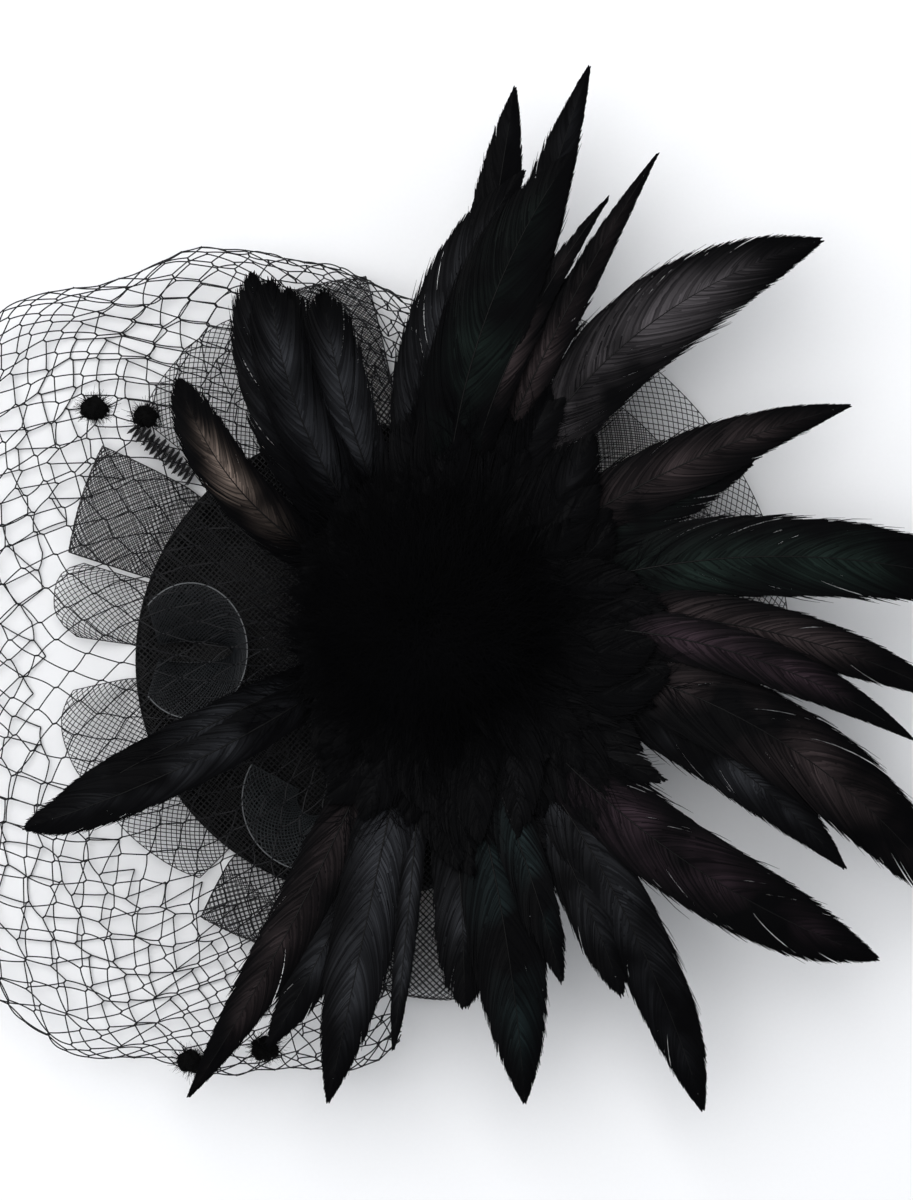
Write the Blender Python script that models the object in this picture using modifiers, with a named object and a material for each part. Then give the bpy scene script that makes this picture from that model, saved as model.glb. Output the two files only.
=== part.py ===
"""Feathered fascinator on a round crin base, with crin loops, a birdcage veil and a sprung hair clip.

Frame: +Z up out of the crown, +X towards the long feathers, origin under the middle of the base, on
the lowest face of the clip, which is the height of the table that the headpiece lies on.
"""

import math

import bmesh
import bpy

MM = 0.001
GAP = 0.3 * MM

# Base disc: flat middle, soft shoulder, flat edge.
DISC_RADIUS = 64.3 * MM
CROWN_FLAT_RADIUS = 30 * MM
SHOULDER_RADIUS = 61 * MM
CROWN_UNDERSIDE = 8.0 * MM
EDGE_UNDERSIDE = 3.7 * MM
DISC_THICKNESS = 1.0 * MM
TURN_STEPS = 32

EDGE_MIDDLE = EDGE_UNDERSIDE + DISC_THICKNESS / 2
WIRE_RADIUS = 0.6 * MM
WIRE_RING_RADIUS = DISC_RADIUS + GAP + WIRE_RADIUS + 0.1 * MM
BINDING_INNER_RADIUS = DISC_RADIUS - 1.6 * MM
BINDING_OUTER_RADIUS = DISC_RADIUS + 2.8 * MM
BINDING_HALF_HEIGHT = 1.8 * MM
BINDING_WALL = 0.7 * MM

LINING_RADIUS = 54 * MM
LINING_THICKNESS = 1.0 * MM
PATCH_THICKNESS = 0.8 * MM
PATCH_HALF_LENGTH = 28 * MM
PATCH_HALF_WIDTH = 12 * MM

# Hair clip, closed at rest. Its length lies along X and its pivot pin along Y.
CLIP_HALF_LENGTH = 23 * MM
CLIP_PIVOT_X = 9 * MM
CLIP_PIVOT_Z = 2.6 * MM
CLIP_SHEET = 0.7 * MM
FIXED_JAW_TOP = 5.3 * MM
FIXED_JAW_HALF_WIDTH = 4.7 * MM
MOVING_JAW_HALF_WIDTH = 3.5 * MM
EAR_REACH = 3.4 * MM
BEND_STEP = 0.15 * MM
PIN_RADIUS = 0.75 * MM
PIN_HALF_LENGTH = 5.4 * MM
PIN_HOLE_RADIUS = PIN_RADIUS + GAP
COIL_RADIUS = 1.35 * MM
COIL_WIRE_RADIUS = 0.25 * MM
COIL_TURNS = 5
COIL_PITCH = 0.75 * MM
COIL_UPPER_LEG = 11 * MM
COIL_LOWER_LEG = 9 * MM
COIL_LEG_REST = 1.2 * MM

# Feathers: they fan out from a mount a little above and to the right of the disc's middle.
FAN_CENTRE = (17 * MM, 11.5 * MM)
MOUNT_RADIUS = 20 * MM
MOUNT_BOTTOM = CROWN_UNDERSIDE + DISC_THICKNESS + GAP
MOUNT_THICKNESS = 1.5 * MM
QUILL_START = 13 * MM
FAN_BOTTOM = MOUNT_BOTTOM + MOUNT_THICKNESS + 0.7 * MM
FAN_RISE = 32 * MM
FAN_RISE_RIGHT = 6 * MM
FAN_PEAK = 100 * MM
TIER_PITCH = 1.25 * MM
FEATHER_THICKNESS = 0.6 * MM
FEATHER_STEPS = 9
FEATHER_CLEARANCE = 0.6 * MM
QUILL_WIDTH = 1.8 * MM

# One row for each feather, lowest first: bearing of its tip in degrees, its length, how far its
# middle bows to the left of the straight line to the tip, and its width, all in millimetres.
FEATHERS = [
    (81, 151, 0, 15),
    (-9, 150, 12, 15),
    (-31, 135, 10, 17),
    (-63, 117, 4, 13),
    (-85, 108, 2, 15),
    (-111, 127, 6, 14),
    (67, 111, 3, 10),
    (113, 100, 6, 13),
    (26, 100, 4, 20),
    (74, 162, 2, 15),
    (3, 160, 13, 22),
    (-29, 170, 18, 22),
    (-61, 157, 8, 16),
    (-79, 137, 4, 21),
    (-95, 120, 1, 6),
    (-117, 149, 4, 14),
    (64, 145, 4, 10),
    (117, 108, 12, 13),
    (207, 120, -2, 10),
    (108, 96, 4, 13),
    (-14, 139, 12, 13),
    (-37, 157, -11, 21),
    (-102, 137, 0, 18),
    (67, 128, 8, 9),
    (44, 153, 18, 23),
    (27, 132, 7, 17),
    (78, 128, 14, 20),
    (73, 136, 10, 24),
    (136, 97, 11, 14),
    (207, 126, 5, 13),
    (115, 104, 9, 13),
    (-70, 107, 2, 12),
]

# The fluffy pad of short hackles over the quills.
PAD_RADIUS = 33 * MM
PAD_DOME = 6 * MM
PAD_EDGE = 1.5 * MM

# Veil: a net that leaves the fan, balloons to a round outline and turns in to a hem near the table.
VEIL_CENTRE = (-39 * MM, -1 * MM)
VEIL_RADIUS = 116 * MM
VEIL_START_RADIUS = 34 * MM
VEIL_FIRST_BEARING = 62
VEIL_LAST_BEARING = 294
VEIL_START_Z = 11 * MM
VEIL_PEAK_Z = 31 * MM
VEIL_WAIST_Z = 14 * MM
VEIL_HEM_Z = 0.5 * MM
VEIL_PEAK_AT = 0.6
VEIL_TUCK = 0.08
VEIL_LIFTED_UNTIL = 88
VEIL_DOWN_FROM = 108
VEIL_DOWN_UNTIL = 272
VEIL_LIFTED_FROM = 288
VEIL_LIFTED_HEM_Z = 10.5 * MM
VEIL_THICKNESS = 0.8 * MM
VEIL_STEPS_AROUND = 30
VEIL_STEPS_OUT = 14

# Chenille dots on the veil: bearing round the veil's centre, share of the way out, half length.
DOTS = [
    (127.5, 0.49, 3.4),
    (122.5, 0.44, 3.0),
    (263.5, 0.75, 3.2),
    (273.5, 0.70, 3.4),
]
DOT_SQUASH = 0.72

# Crin bands sewn under the disc's edge. Most fold over at their outer end and come back; a flap is
# one layer, with a free edge. Bearings and distances are from CRIN_CENTRE: bearings at the disc's
# edge, bearings at the outer end, reach at both sides, height, how much its corners are rounded,
# where it starts under the disc, and where it comes clear of the binding, all in millimetres.
CRIN_CENTRE = (12 * MM, -1 * MM)
CRIN_THICKNESS = 0.6 * MM
CRIN_FLOOR = 0.35 * MM
CRIN_UPPER_START = 1.7 * MM
CRIN_LOOPS = {
    "crin_loop_top": ((94, 114), (97, 115), (111, 112), 7, 0, 58, 74),
    "crin_loop_left": ((142, 162), (145, 162), (108, 103), 9, 0, 66, 81),
    "crin_loop_bottom_left": ((227, 246), (230, 244), (94, 90), 7, 0, 61, 77),
    "crin_loop_bottom": ((262, 281), (263, 279), (93, 97), 6, 1, 55, 70),
}
CRIN_FLAPS = {
    "crin_flap_upper_left": ((117, 137), (118, 138), (113, 106), 4, 2, 64, 79),
    "crin_flap_left": ((163, 176), (163, 175), (105, 103), 5, 7, 68, 82),
    "crin_flap_lower_left": ((183, 204), (185, 203), (103, 100), 5, 6, 67, 82),
    "crin_flap_lower": ((206, 225), (206, 225), (97, 87), 4, 1, 64, 80),
}
CRIN_BRIM = ((-4, 66), (-4, 66), (107, 109), 3, 0, 45, 65)
CRIN_BRIM_OVERLAP = 94 * MM
CRIN_STEPS_ACROSS = 4
CRIN_BRIM_STEPS_ACROSS = 12

# A pleated crin frill stands on the disc's edge beside the left loop.
FRILL_BEARING = 139.7
FRILL_REACH = (82 * MM, 103 * MM)
FRILL_HEIGHT = (1.0 * MM, 11.5 * MM)
FRILL_PLEATS = 5
FRILL_WAVE = 0.8 * MM

# The curl, a trumpet of crin on the left of the disc. Its throat below and its lip above are open
# ovals: middle x and y, then half sizes along x and y. They end CURL_TURN degrees either way from +x.
CURL_THROAT = (-51 * MM, 2.5 * MM, 12 * MM, 3 * MM)
CURL_LIP = (-50.5 * MM, 3 * MM, 16 * MM, 19 * MM)
CURL_TURN = 138
CURL_HEIGHT = (8.8 * MM, 21 * MM)

# The petal, part of a cone of crin on the lower left of the disc.
PETAL_CENTRE = (-16 * MM, -39 * MM)
PETAL_BEARINGS = (150, 285)
PETAL_RADIUS = (5 * MM, 20 * MM)
PETAL_HEIGHT = (10.3 * MM, 20 * MM)

DISC_COLOUR = (0.012, 0.012, 0.014)
CRIN_COLOUR = (0.016, 0.015, 0.017)
NET_COLOUR = (0.010, 0.010, 0.011)
FEATHER_COLOUR = (0.008, 0.008, 0.010)
FELT_COLOUR = (0.020, 0.020, 0.022)
STEEL_COLOUR = (0.55, 0.55, 0.57)


def material(name, colour, roughness, metallic=0.0):
    found = bpy.data.materials.get(name)
    if found:
        return found
    made = bpy.data.materials.new(name)
    made.use_nodes = True
    shader = made.node_tree.nodes["Principled BSDF"]
    shader.inputs["Base Color"].default_value = (*colour, 1)
    shader.inputs["Roughness"].default_value = roughness
    shader.inputs["Metallic"].default_value = metallic
    return made


def crin():
    return material("crin", CRIN_COLOUR, 0.45)


def felt():
    return material("felt", FELT_COLOUR, 0.95)


def steel():
    return material("clip_steel", STEEL_COLOUR, 0.3, 1.0)


def feather_black():
    return material("feather_black", FEATHER_COLOUR, 0.5)


def net_thread():
    return material("net_thread", NET_COLOUR, 0.6)


def add(name, data, look, collection):
    thing = bpy.data.objects.new(name, data)
    collection.objects.link(thing)
    if look:
        data.materials.append(look)
    return thing


def solidify(thing, thickness):
    shell = thing.modifiers.new("shell", "SOLIDIFY")
    shell.thickness = thickness
    shell.offset = 0


def sheet(name, surface, steps, thickness, look, collection):
    """A grid bent to surface(u, v), with u and v from 0 to 1, and thickened on both sides."""
    grid = bmesh.new()
    bmesh.ops.create_grid(grid, x_segments=steps[0], y_segments=steps[1], size=0.5)
    for vertex in grid.verts:
        vertex.co = surface(vertex.co.x + 0.5, vertex.co.y + 0.5)
    bmesh.ops.recalc_face_normals(grid, faces=grid.faces)
    mesh = bpy.data.meshes.new(name)
    grid.to_mesh(mesh)
    grid.free()
    mesh.shade_smooth()
    thing = add(name, mesh, look, collection)
    solidify(thing, thickness)
    return thing


def turned(name, profile, look, collection, closed=True, steps=TURN_STEPS):
    """A profile of (radius, height) points, down its outer side, turned about Z."""
    mesh = bpy.data.meshes.new(name)
    count = len(profile)
    edges = [(k, k + 1) for k in range(count - 1)]
    if closed:
        edges.append((count - 1, 0))
    mesh.from_pydata([(r, 0, z) for r, z in profile], edges, [])
    thing = add(name, mesh, look, collection)
    screw = thing.modifiers.new("turn", "SCREW")
    screw.steps = steps
    screw.render_steps = steps
    screw.use_merge_vertices = True
    screw.merge_threshold = 0.00001
    screw.use_smooth_shade = True
    return thing


def blend(t):
    t = max(0.0, min(1.0, t))
    return t * t * (3 - 2 * t)


def disc_underside(radius):
    """Height of the base disc's underside at a distance from its axis."""
    share = (radius - CROWN_FLAT_RADIUS) / (SHOULDER_RADIUS - CROWN_FLAT_RADIUS)
    return CROWN_UNDERSIDE + (EDGE_UNDERSIDE - CROWN_UNDERSIDE) * blend(share)


def domed_profile(outer, bottom_shift, thickness, points=8):
    radii = [CROWN_FLAT_RADIUS + (outer - CROWN_FLAT_RADIUS) * k / (points - 1) for k in range(points)]
    top = [(r, disc_underside(r) + bottom_shift + thickness) for r in [0, *radii]]
    bottom = [(r, z - thickness) for r, z in reversed(top)]
    return top + bottom


def make_base(collection):
    straw = material("base_sinamay", DISC_COLOUR, 0.6)
    turned("base_disc", domed_profile(DISC_RADIUS, 0, DISC_THICKNESS), straw, collection, closed=False)
    lining_shift = -GAP - LINING_THICKNESS
    lining = domed_profile(LINING_RADIUS, lining_shift, LINING_THICKNESS, 6)
    turned("base_lining", lining, felt(), collection, closed=False)
    wire = [
        (
            WIRE_RING_RADIUS + WIRE_RADIUS * math.cos(math.radians(90 - 60 * k)),
            EDGE_MIDDLE + WIRE_RADIUS * math.sin(math.radians(90 - 60 * k)),
        )
        for k in range(6)
    ]
    turned("rim_wire", wire, material("wire_black", STEEL_COLOUR, 0.5, 1.0), collection)
    make_binding(collection)


def make_binding(collection):
    """A band folded over the disc's edge and its wire: a C in section, open towards the middle."""

    def bend(half, reach):
        corner = half * 0.7
        return [
            (BINDING_INNER_RADIUS, EDGE_MIDDLE + half),
            (reach - corner, EDGE_MIDDLE + half),
            (reach, EDGE_MIDDLE + half - corner),
            (reach, EDGE_MIDDLE - half + corner),
            (reach - corner, EDGE_MIDDLE - half),
            (BINDING_INNER_RADIUS, EDGE_MIDDLE - half),
        ]

    outside = bend(BINDING_HALF_HEIGHT, BINDING_OUTER_RADIUS)
    inside = bend(BINDING_HALF_HEIGHT - BINDING_WALL, BINDING_OUTER_RADIUS - BINDING_WALL)
    look = material("binding", DISC_COLOUR, 0.5)
    turned("rim_binding", outside + list(reversed(inside)), look, collection)


def extruded(name, outline, half_width, look, collection):
    """An (x, z) outline extruded along Y to both sides, as a mesh."""
    curve = bpy.data.curves.new(name, "CURVE")
    curve.dimensions = "2D"
    curve.fill_mode = "BOTH"
    curve.extrude = half_width
    curve.render_resolution_u = 0
    spline = curve.splines.new("POLY")
    spline.points.add(len(outline) - 1)
    for point, (x, z) in zip(spline.points, outline, strict=True):
        point.co = (x, z, 0, 1)
    spline.use_cyclic_u = True
    flat = add(name + "_outline", curve, None, collection)
    flat.rotation_euler = (math.radians(90), 0, 0)
    bpy.context.view_layer.update()
    evaluated = flat.evaluated_get(bpy.context.evaluated_depsgraph_get())
    mesh = bpy.data.meshes.new_from_object(evaluated)
    mesh.name = name
    mesh.transform(flat.matrix_world)
    welded = bmesh.new()
    welded.from_mesh(mesh)
    bmesh.ops.remove_doubles(welded, verts=welded.verts, dist=0.00001)
    bmesh.ops.recalc_face_normals(welded, faces=welded.faces)
    welded.to_mesh(mesh)
    welded.free()
    bpy.data.objects.remove(flat)
    return add(name, mesh, look, collection)


def rod(name, radius, half_length, place, look, collection, sides=12):
    """A cylinder along Y."""
    made = bmesh.new()
    bmesh.ops.create_cone(
        made, cap_ends=True, segments=sides, radius1=radius, radius2=radius, depth=2 * half_length
    )
    mesh = bpy.data.meshes.new(name)
    made.to_mesh(mesh)
    made.free()
    thing = add(name, mesh, look, collection)
    thing.rotation_euler = (math.radians(90), 0, 0)
    thing.location = place
    return thing


def block(name, low, high, collection):
    made = bmesh.new()
    bmesh.ops.create_cube(made, size=1)
    for vertex in made.verts:
        vertex.co = [
            a + (b - a) * (c + 0.5) for a, b, c in zip(low, high, vertex.co, strict=True)
        ]
    mesh = bpy.data.meshes.new(name)
    made.to_mesh(mesh)
    made.free()
    return add(name, mesh, None, collection)


def cut(thing, cutter):
    cutter.hide_render = True
    cutter.display_type = "WIRE"
    hole = thing.modifiers.new(cutter.name, "BOOLEAN")
    hole.operation = "DIFFERENCE"
    hole.object = cutter


def jaw(name, outline, half_width, channel, collection, cutters):
    """A folded sheet jaw: its side outline, less the channel between its two ears, less a pin hole."""
    thing = extruded(name, outline, half_width, steel(), collection)
    inner = half_width - CLIP_SHEET
    low = (CLIP_PIVOT_X - 2 * EAR_REACH, -inner, channel[0])
    high = (CLIP_PIVOT_X + 2 * EAR_REACH, inner, channel[1])
    cut(thing, block(name + "_channel", low, high, cutters))
    place = (CLIP_PIVOT_X, 0, CLIP_PIVOT_Z)
    cut(thing, rod(name + "_hole", PIN_HOLE_RADIUS, 2 * PIN_HALF_LENGTH, place, None, cutters))
    return thing


def make_clip(collection, cutters):
    patch = bmesh.new()
    patch_top = CROWN_UNDERSIDE - GAP - LINING_THICKNESS - GAP
    bmesh.ops.create_cone(patch, cap_ends=True, segments=28, radius1=1, radius2=1, depth=1)
    for vertex in patch.verts:
        vertex.co.x *= PATCH_HALF_LENGTH
        vertex.co.y *= PATCH_HALF_WIDTH
        vertex.co.z = patch_top - PATCH_THICKNESS * (0.5 - vertex.co.z)
    mesh = bpy.data.meshes.new("clip_patch")
    patch.to_mesh(mesh)
    patch.free()
    add("clip_patch", mesh, felt(), collection)

    front = -CLIP_HALF_LENGTH
    back = CLIP_HALF_LENGTH
    ear = EAR_REACH
    fixed_under = FIXED_JAW_TOP - CLIP_SHEET
    fixed_outline = [
        (front, FIXED_JAW_TOP),
        (front, fixed_under),
        (CLIP_PIVOT_X - ear, fixed_under - BEND_STEP),
        (CLIP_PIVOT_X - 0.4 * ear, CLIP_PIVOT_Z - 1.6 * MM),
        (CLIP_PIVOT_X + 0.4 * ear, CLIP_PIVOT_Z - 1.6 * MM),
        (CLIP_PIVOT_X + ear, fixed_under - BEND_STEP),
        (back, fixed_under),
        (back, FIXED_JAW_TOP),
    ]
    channel = (-CLIP_SHEET, fixed_under)
    jaw("clip_fixed_jaw", fixed_outline, FIXED_JAW_HALF_WIDTH, channel, collection, cutters)

    lift = 0.4 * MM
    moving_outline = [
        (front, fixed_under - GAP),
        (front - CLIP_SHEET, fixed_under - GAP - 0.6 * MM),
        (front + 0.6 * MM, 0),
        (CLIP_PIVOT_X, 0),
        (back, lift),
        (back, lift + CLIP_SHEET),
        (CLIP_PIVOT_X + ear, CLIP_SHEET + 0.2 * MM),
        (CLIP_PIVOT_X + 0.4 * ear, CLIP_PIVOT_Z + 1.5 * MM),
        (CLIP_PIVOT_X - 0.4 * ear, CLIP_PIVOT_Z + 1.5 * MM),
        (CLIP_PIVOT_X - ear, CLIP_SHEET),
        (front + 1.4 * MM, CLIP_SHEET),
        (front + 0.6 * MM, fixed_under - GAP),
    ]
    channel = (CLIP_SHEET + BEND_STEP / 3, 2 * FIXED_JAW_TOP)
    half_width = MOVING_JAW_HALF_WIDTH
    moving = jaw("clip_moving_jaw", moving_outline, half_width, channel, collection, cutters)
    place = (CLIP_PIVOT_X, 0, CLIP_PIVOT_Z)
    pivot = bpy.data.objects.new("clip_pivot", None)
    pivot.location = place
    collection.objects.link(pivot)
    moving.parent = pivot
    moving.matrix_parent_inverse = pivot.matrix_basis.inverted()

    rod("clip_pin", PIN_RADIUS, PIN_HALF_LENGTH, place, steel(), collection)
    make_spring(place, collection)


def make_spring(place, collection):
    """A torsion spring round the pin, with one leg under the fixed jaw and one on the lever."""
    per_turn = 8
    half = COIL_TURNS * COIL_PITCH / 2
    under_fixed_jaw = FIXED_JAW_TOP - CLIP_SHEET - GAP - COIL_WIRE_RADIUS
    points = [(place[0] + COIL_UPPER_LEG, -half, under_fixed_jaw)]
    for k in range(COIL_TURNS * per_turn + 1):
        turn = k / per_turn
        angle = math.radians(90) - 2 * math.pi * turn
        x = place[0] + COIL_RADIUS * math.cos(angle)
        z = place[2] + COIL_RADIUS * math.sin(angle)
        points.append((x, COIL_PITCH * turn - half, z))
    points.append((place[0] + COIL_LOWER_LEG, half + COIL_WIRE_RADIUS, CLIP_SHEET + COIL_LEG_REST))
    curve = bpy.data.curves.new("clip_spring", "CURVE")
    curve.dimensions = "3D"
    curve.bevel_depth = COIL_WIRE_RADIUS
    curve.bevel_resolution = 0
    curve.use_fill_caps = True
    curve.render_resolution_u = 0
    spline = curve.splines.new("POLY")
    spline.points.add(len(points) - 1)
    for point, co in zip(spline.points, points, strict=True):
        point.co = (*co, 1)
    add("clip_spring", curve, steel(), collection)


def fan_height(x, y):
    """Height of the lowest tier of feathers over a point: it climbs from the mount, then droops."""
    across = x - FAN_CENTRE[0]
    away = math.hypot(across, y - FAN_CENTRE[1])
    rise = FAN_RISE - FAN_RISE_RIGHT * (across / away if away else 0)
    share = away / FAN_PEAK
    return FAN_BOTTOM + rise * (1.9 * share - 0.95 * share * share)


def feather_spine(row, t):
    """Point in plan, and unit vector to the left, at share t of a feather's length."""
    bearing, length, bow, _ = row
    angle = math.radians(bearing)
    along = (math.cos(angle), math.sin(angle))
    left = (-along[1], along[0])
    reach = length * MM - QUILL_START
    out = QUILL_START + reach * t
    side = 4 * bow * MM * t * (1 - t)
    slope = 4 * bow * MM * (1 - 2 * t) / reach
    size = math.hypot(1, slope)
    point = [FAN_CENTRE[k] + along[k] * out + left[k] * side for k in (0, 1)]
    normal = [(left[k] - along[k] * slope) / size for k in (0, 1)]
    return point, normal


def feather_half_width(row, t):
    """Narrow at the quill, widest past the middle, pointed at the tip."""
    full = row[3] * MM / 2
    opened = blend(t / 0.55)
    closed = math.sqrt(max(0.0, 1 - max(0.0, (t - 0.6) / 0.4) ** 1.8))
    return QUILL_WIDTH / 2 * (1 - t) + (full - QUILL_WIDTH / 2) * opened * closed + 0.5 * MM * t


def feathers_touch(row_a, row_b):
    steps = 24
    shares = [k / steps for k in range(steps + 1)]
    spots_b = [(feather_spine(row_b, t)[0], feather_half_width(row_b, t)) for t in shares]
    for t in shares:
        point, half = feather_spine(row_a, t)[0], feather_half_width(row_a, t)
        for other, other_half in spots_b:
            if math.dist(point, other) < half + other_half + FEATHER_CLEARANCE:
                return True
    return False


def tiers_of(rows):
    """Each feather is sewn on the lowest tier where it meets no other feather."""
    tiers = []
    for row in rows:
        taken = {tiers[k] for k in range(len(tiers)) if feathers_touch(row, rows[k])}
        tiers.append(min(set(range(len(rows))) - taken))
    return tiers


def make_feathers(collection):
    tiers = tiers_of(FEATHERS)
    for number, (row, tier) in enumerate(zip(FEATHERS, tiers, strict=True), 1):

        def surface(u, v, row=row, tier=tier):
            point, left = feather_spine(row, u)
            side = feather_half_width(row, u) * (2 * v - 1)
            x, y = (point[k] + left[k] * side for k in (0, 1))
            return x, y, fan_height(x, y) + tier * TIER_PITCH

        name = f"feather_{number:02d}"
        sheet(name, surface, (FEATHER_STEPS, 2), FEATHER_THICKNESS, feather_black(), collection)
    return max(tiers) + 1


def make_fan_middle(tier_count, collection):
    mount = [
        (0, MOUNT_BOTTOM + MOUNT_THICKNESS),
        (MOUNT_RADIUS, MOUNT_BOTTOM + MOUNT_THICKNESS),
        (MOUNT_RADIUS, MOUNT_BOTTOM),
        (0, MOUNT_BOTTOM),
    ]
    pad_base = tier_count * TIER_PITCH
    steps = 6
    radii = [PAD_RADIUS * k / steps for k in range(steps + 1)]

    def fan_clear(radius):
        return fan_height(FAN_CENTRE[0] - radius, FAN_CENTRE[1]) + pad_base

    crest = fan_clear(PAD_RADIUS) + PAD_EDGE
    top = [(r, crest + PAD_DOME * math.sqrt(1 - (r / PAD_RADIUS) ** 2)) for r in radii]
    bottom = [(r, fan_clear(r)) for r in reversed(radii)]
    for thing in (
        turned("feather_mount", mount, felt(), collection, closed=False, steps=28),
        turned("hackle_pad", top + bottom, feather_black(), collection, closed=False, steps=24),
    ):
        thing.location = (*FAN_CENTRE, 0)


def veil_point(bearing, out):
    """Point of the veil at a bearing round its centre, and at a share of the way from fan to hem."""
    angle = math.radians(bearing)
    towards = (math.cos(angle), math.sin(angle))
    rim = [VEIL_CENTRE[k] + VEIL_RADIUS * towards[k] for k in (0, 1)]
    inward = math.atan2(rim[1] - FAN_CENTRE[1], rim[0] - FAN_CENTRE[0])
    start = (
        FAN_CENTRE[0] + VEIL_START_RADIUS * math.cos(inward),
        FAN_CENTRE[1] + VEIL_START_RADIUS * math.sin(inward),
    )
    climb_end, waist = 0.45, 0.85
    if out < climb_end:
        turn = math.pi / 2 * out / climb_end
        share = VEIL_PEAK_AT * (1 - math.cos(turn))
        z = VEIL_START_Z + (VEIL_PEAK_Z - VEIL_START_Z) * math.sin(turn)
    elif out < waist:
        turn = math.pi / 2 * (out - climb_end) / (waist - climb_end)
        share = VEIL_PEAK_AT + (1 - VEIL_PEAK_AT) * math.sin(turn)
        z = VEIL_WAIST_Z + (VEIL_PEAK_Z - VEIL_WAIST_Z) * math.cos(turn)
    else:
        turn = math.pi / 2 * (out - waist) / (1 - waist)
        share = 1 - VEIL_TUCK * (1 - math.cos(turn))
        down = blend((bearing - VEIL_LIFTED_UNTIL) / (VEIL_DOWN_FROM - VEIL_LIFTED_UNTIL))
        down *= blend((VEIL_LIFTED_FROM - bearing) / (VEIL_LIFTED_FROM - VEIL_DOWN_UNTIL))
        hem = mix((VEIL_LIFTED_HEM_Z, VEIL_HEM_Z), down)
        z = mix((VEIL_WAIST_Z, hem), math.sin(turn))
    x, y = (start[k] + (rim[k] - start[k]) * share for k in (0, 1))
    return x, y, z


def make_veil(collection):
    def surface(u, v):
        bearing = VEIL_FIRST_BEARING + (VEIL_LAST_BEARING - VEIL_FIRST_BEARING) * u
        return veil_point(bearing, v)

    steps = (VEIL_STEPS_AROUND, VEIL_STEPS_OUT)
    sheet("veil_net", surface, steps, VEIL_THICKNESS, net_thread(), collection)

    for number, (bearing, out, half) in enumerate(DOTS, 1):
        ball = bmesh.new()
        bmesh.ops.create_uvsphere(ball, u_segments=8, v_segments=6, radius=half * MM)
        mesh = bpy.data.meshes.new("chenille_dot")
        ball.to_mesh(mesh)
        ball.free()
        mesh.shade_smooth()
        look = material("chenille", NET_COLOUR, 0.95)
        dot = add(f"chenille_dot_{number}", mesh, look, collection)
        x, y, z = veil_point(bearing, out)
        ahead = veil_point(bearing, out + 0.02)
        around = veil_point(bearing + 1, out)
        step_out = [ahead[k] - (x, y, z)[k] for k in range(3)]
        step_round = [around[k] - (x, y, z)[k] for k in range(3)]
        normal = [
            step_round[1] * step_out[2] - step_round[2] * step_out[1],
            step_round[2] * step_out[0] - step_round[0] * step_out[2],
            step_round[0] * step_out[1] - step_round[1] * step_out[0],
        ]
        size = math.hypot(*normal) * (-1 if normal[2] < 0 else 1)
        clear = VEIL_THICKNESS / 2 + 2 * GAP + half * MM
        dot.location = [c + clear * n / size for c, n in zip((x, y, z), normal, strict=True)]
        for vertex in mesh.vertices:
            vertex.co.y *= DOT_SQUASH


def polar(bearing, radius, z):
    angle = math.radians(bearing)
    return CRIN_CENTRE[0] + radius * math.cos(angle), CRIN_CENTRE[1] + radius * math.sin(angle), z


def mix(pair, share):
    return pair[0] + (pair[1] - pair[0]) * share


def half_round(radius, z, size, outwards, steps=4):
    """A fold in a band: half a circle in its section, from its lower side to its upper side."""
    arc = [math.radians(-90 + 180 * k / steps) for k in range(steps + 1)]
    return [(radius + outwards * size * math.cos(a), z + size * (1 + math.sin(a))) for a in arc]


def loop_path(reach, height, start, neck):
    """A band out along the table, over, and back to the disc, as (distance, height) points."""
    top = CRIN_FLOOR + height
    folding = height / 2
    straight = reach - folding
    climb = (mix((neck, straight), 0.6), top - 0.04 * height)
    low = (neck + 0.5 * MM, CRIN_UPPER_START + GAP)
    shoulder = (mix((neck, straight), 0.25), mix((low[1], top), 0.62))
    out = [(start, CRIN_FLOOR), (neck, CRIN_FLOOR), *half_round(straight, CRIN_FLOOR, folding, 1)]
    return [*out, climb, shoulder, low, (start + 3 * MM, CRIN_UPPER_START)]


def flap_path(reach, height, start, neck):
    """One layer of band out from under the disc, arched up off the table."""
    rises = ((0.5, 0.7), (0.85, 1), (1, 0.8))
    arch = [(mix((neck, reach), t), CRIN_FLOOR + height * rise) for t, rise in rises]
    return [(start, CRIN_FLOOR), (neck, CRIN_FLOOR), *arch]


def brim_path(reach, height, start, neck):
    """A band folded under the disc: the long side is the brim, and the short side lies on it."""
    folding = (CRIN_UPPER_START - CRIN_FLOOR) / 2

    def long_side(radius):
        return CRIN_FLOOR + height * max(0.0, (radius - neck) / (reach - neck))

    half_way = mix((neck, CRIN_BRIM_OVERLAP), 0.5)
    out = [neck, half_way, CRIN_BRIM_OVERLAP, reach]
    back = [CRIN_BRIM_OVERLAP, half_way, neck]
    long_points = [(r, long_side(r)) for r in reversed(out)]
    fold = half_round(start + folding, CRIN_FLOOR, folding, -1)
    short_points = [(r, long_side(r) + 2 * folding) for r in reversed(back)]
    return [*long_points, *fold, *short_points]


def crin_band(name, numbers, path, across, collection):
    rim, fold, reach, height, rounding, start, neck = numbers
    lengths = (height * MM, start * MM, neck * MM)
    count = len(path(reach[0] * MM, *lengths))

    def surface(u, v):
        corner = rounding * MM * abs(2 * v - 1) ** 3
        radius, z = path(mix(reach, v) * MM - corner, *lengths)[round(u * (count - 1))]
        share = (radius - neck * MM) / ((mix(reach, v) - neck) * MM)
        bearing = mix((mix(rim, v), mix(fold, v)), max(0.0, min(1.0, share)))
        return polar(bearing, radius, z)

    sheet(name, surface, (count - 1, across), CRIN_THICKNESS, crin(), collection)


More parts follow.
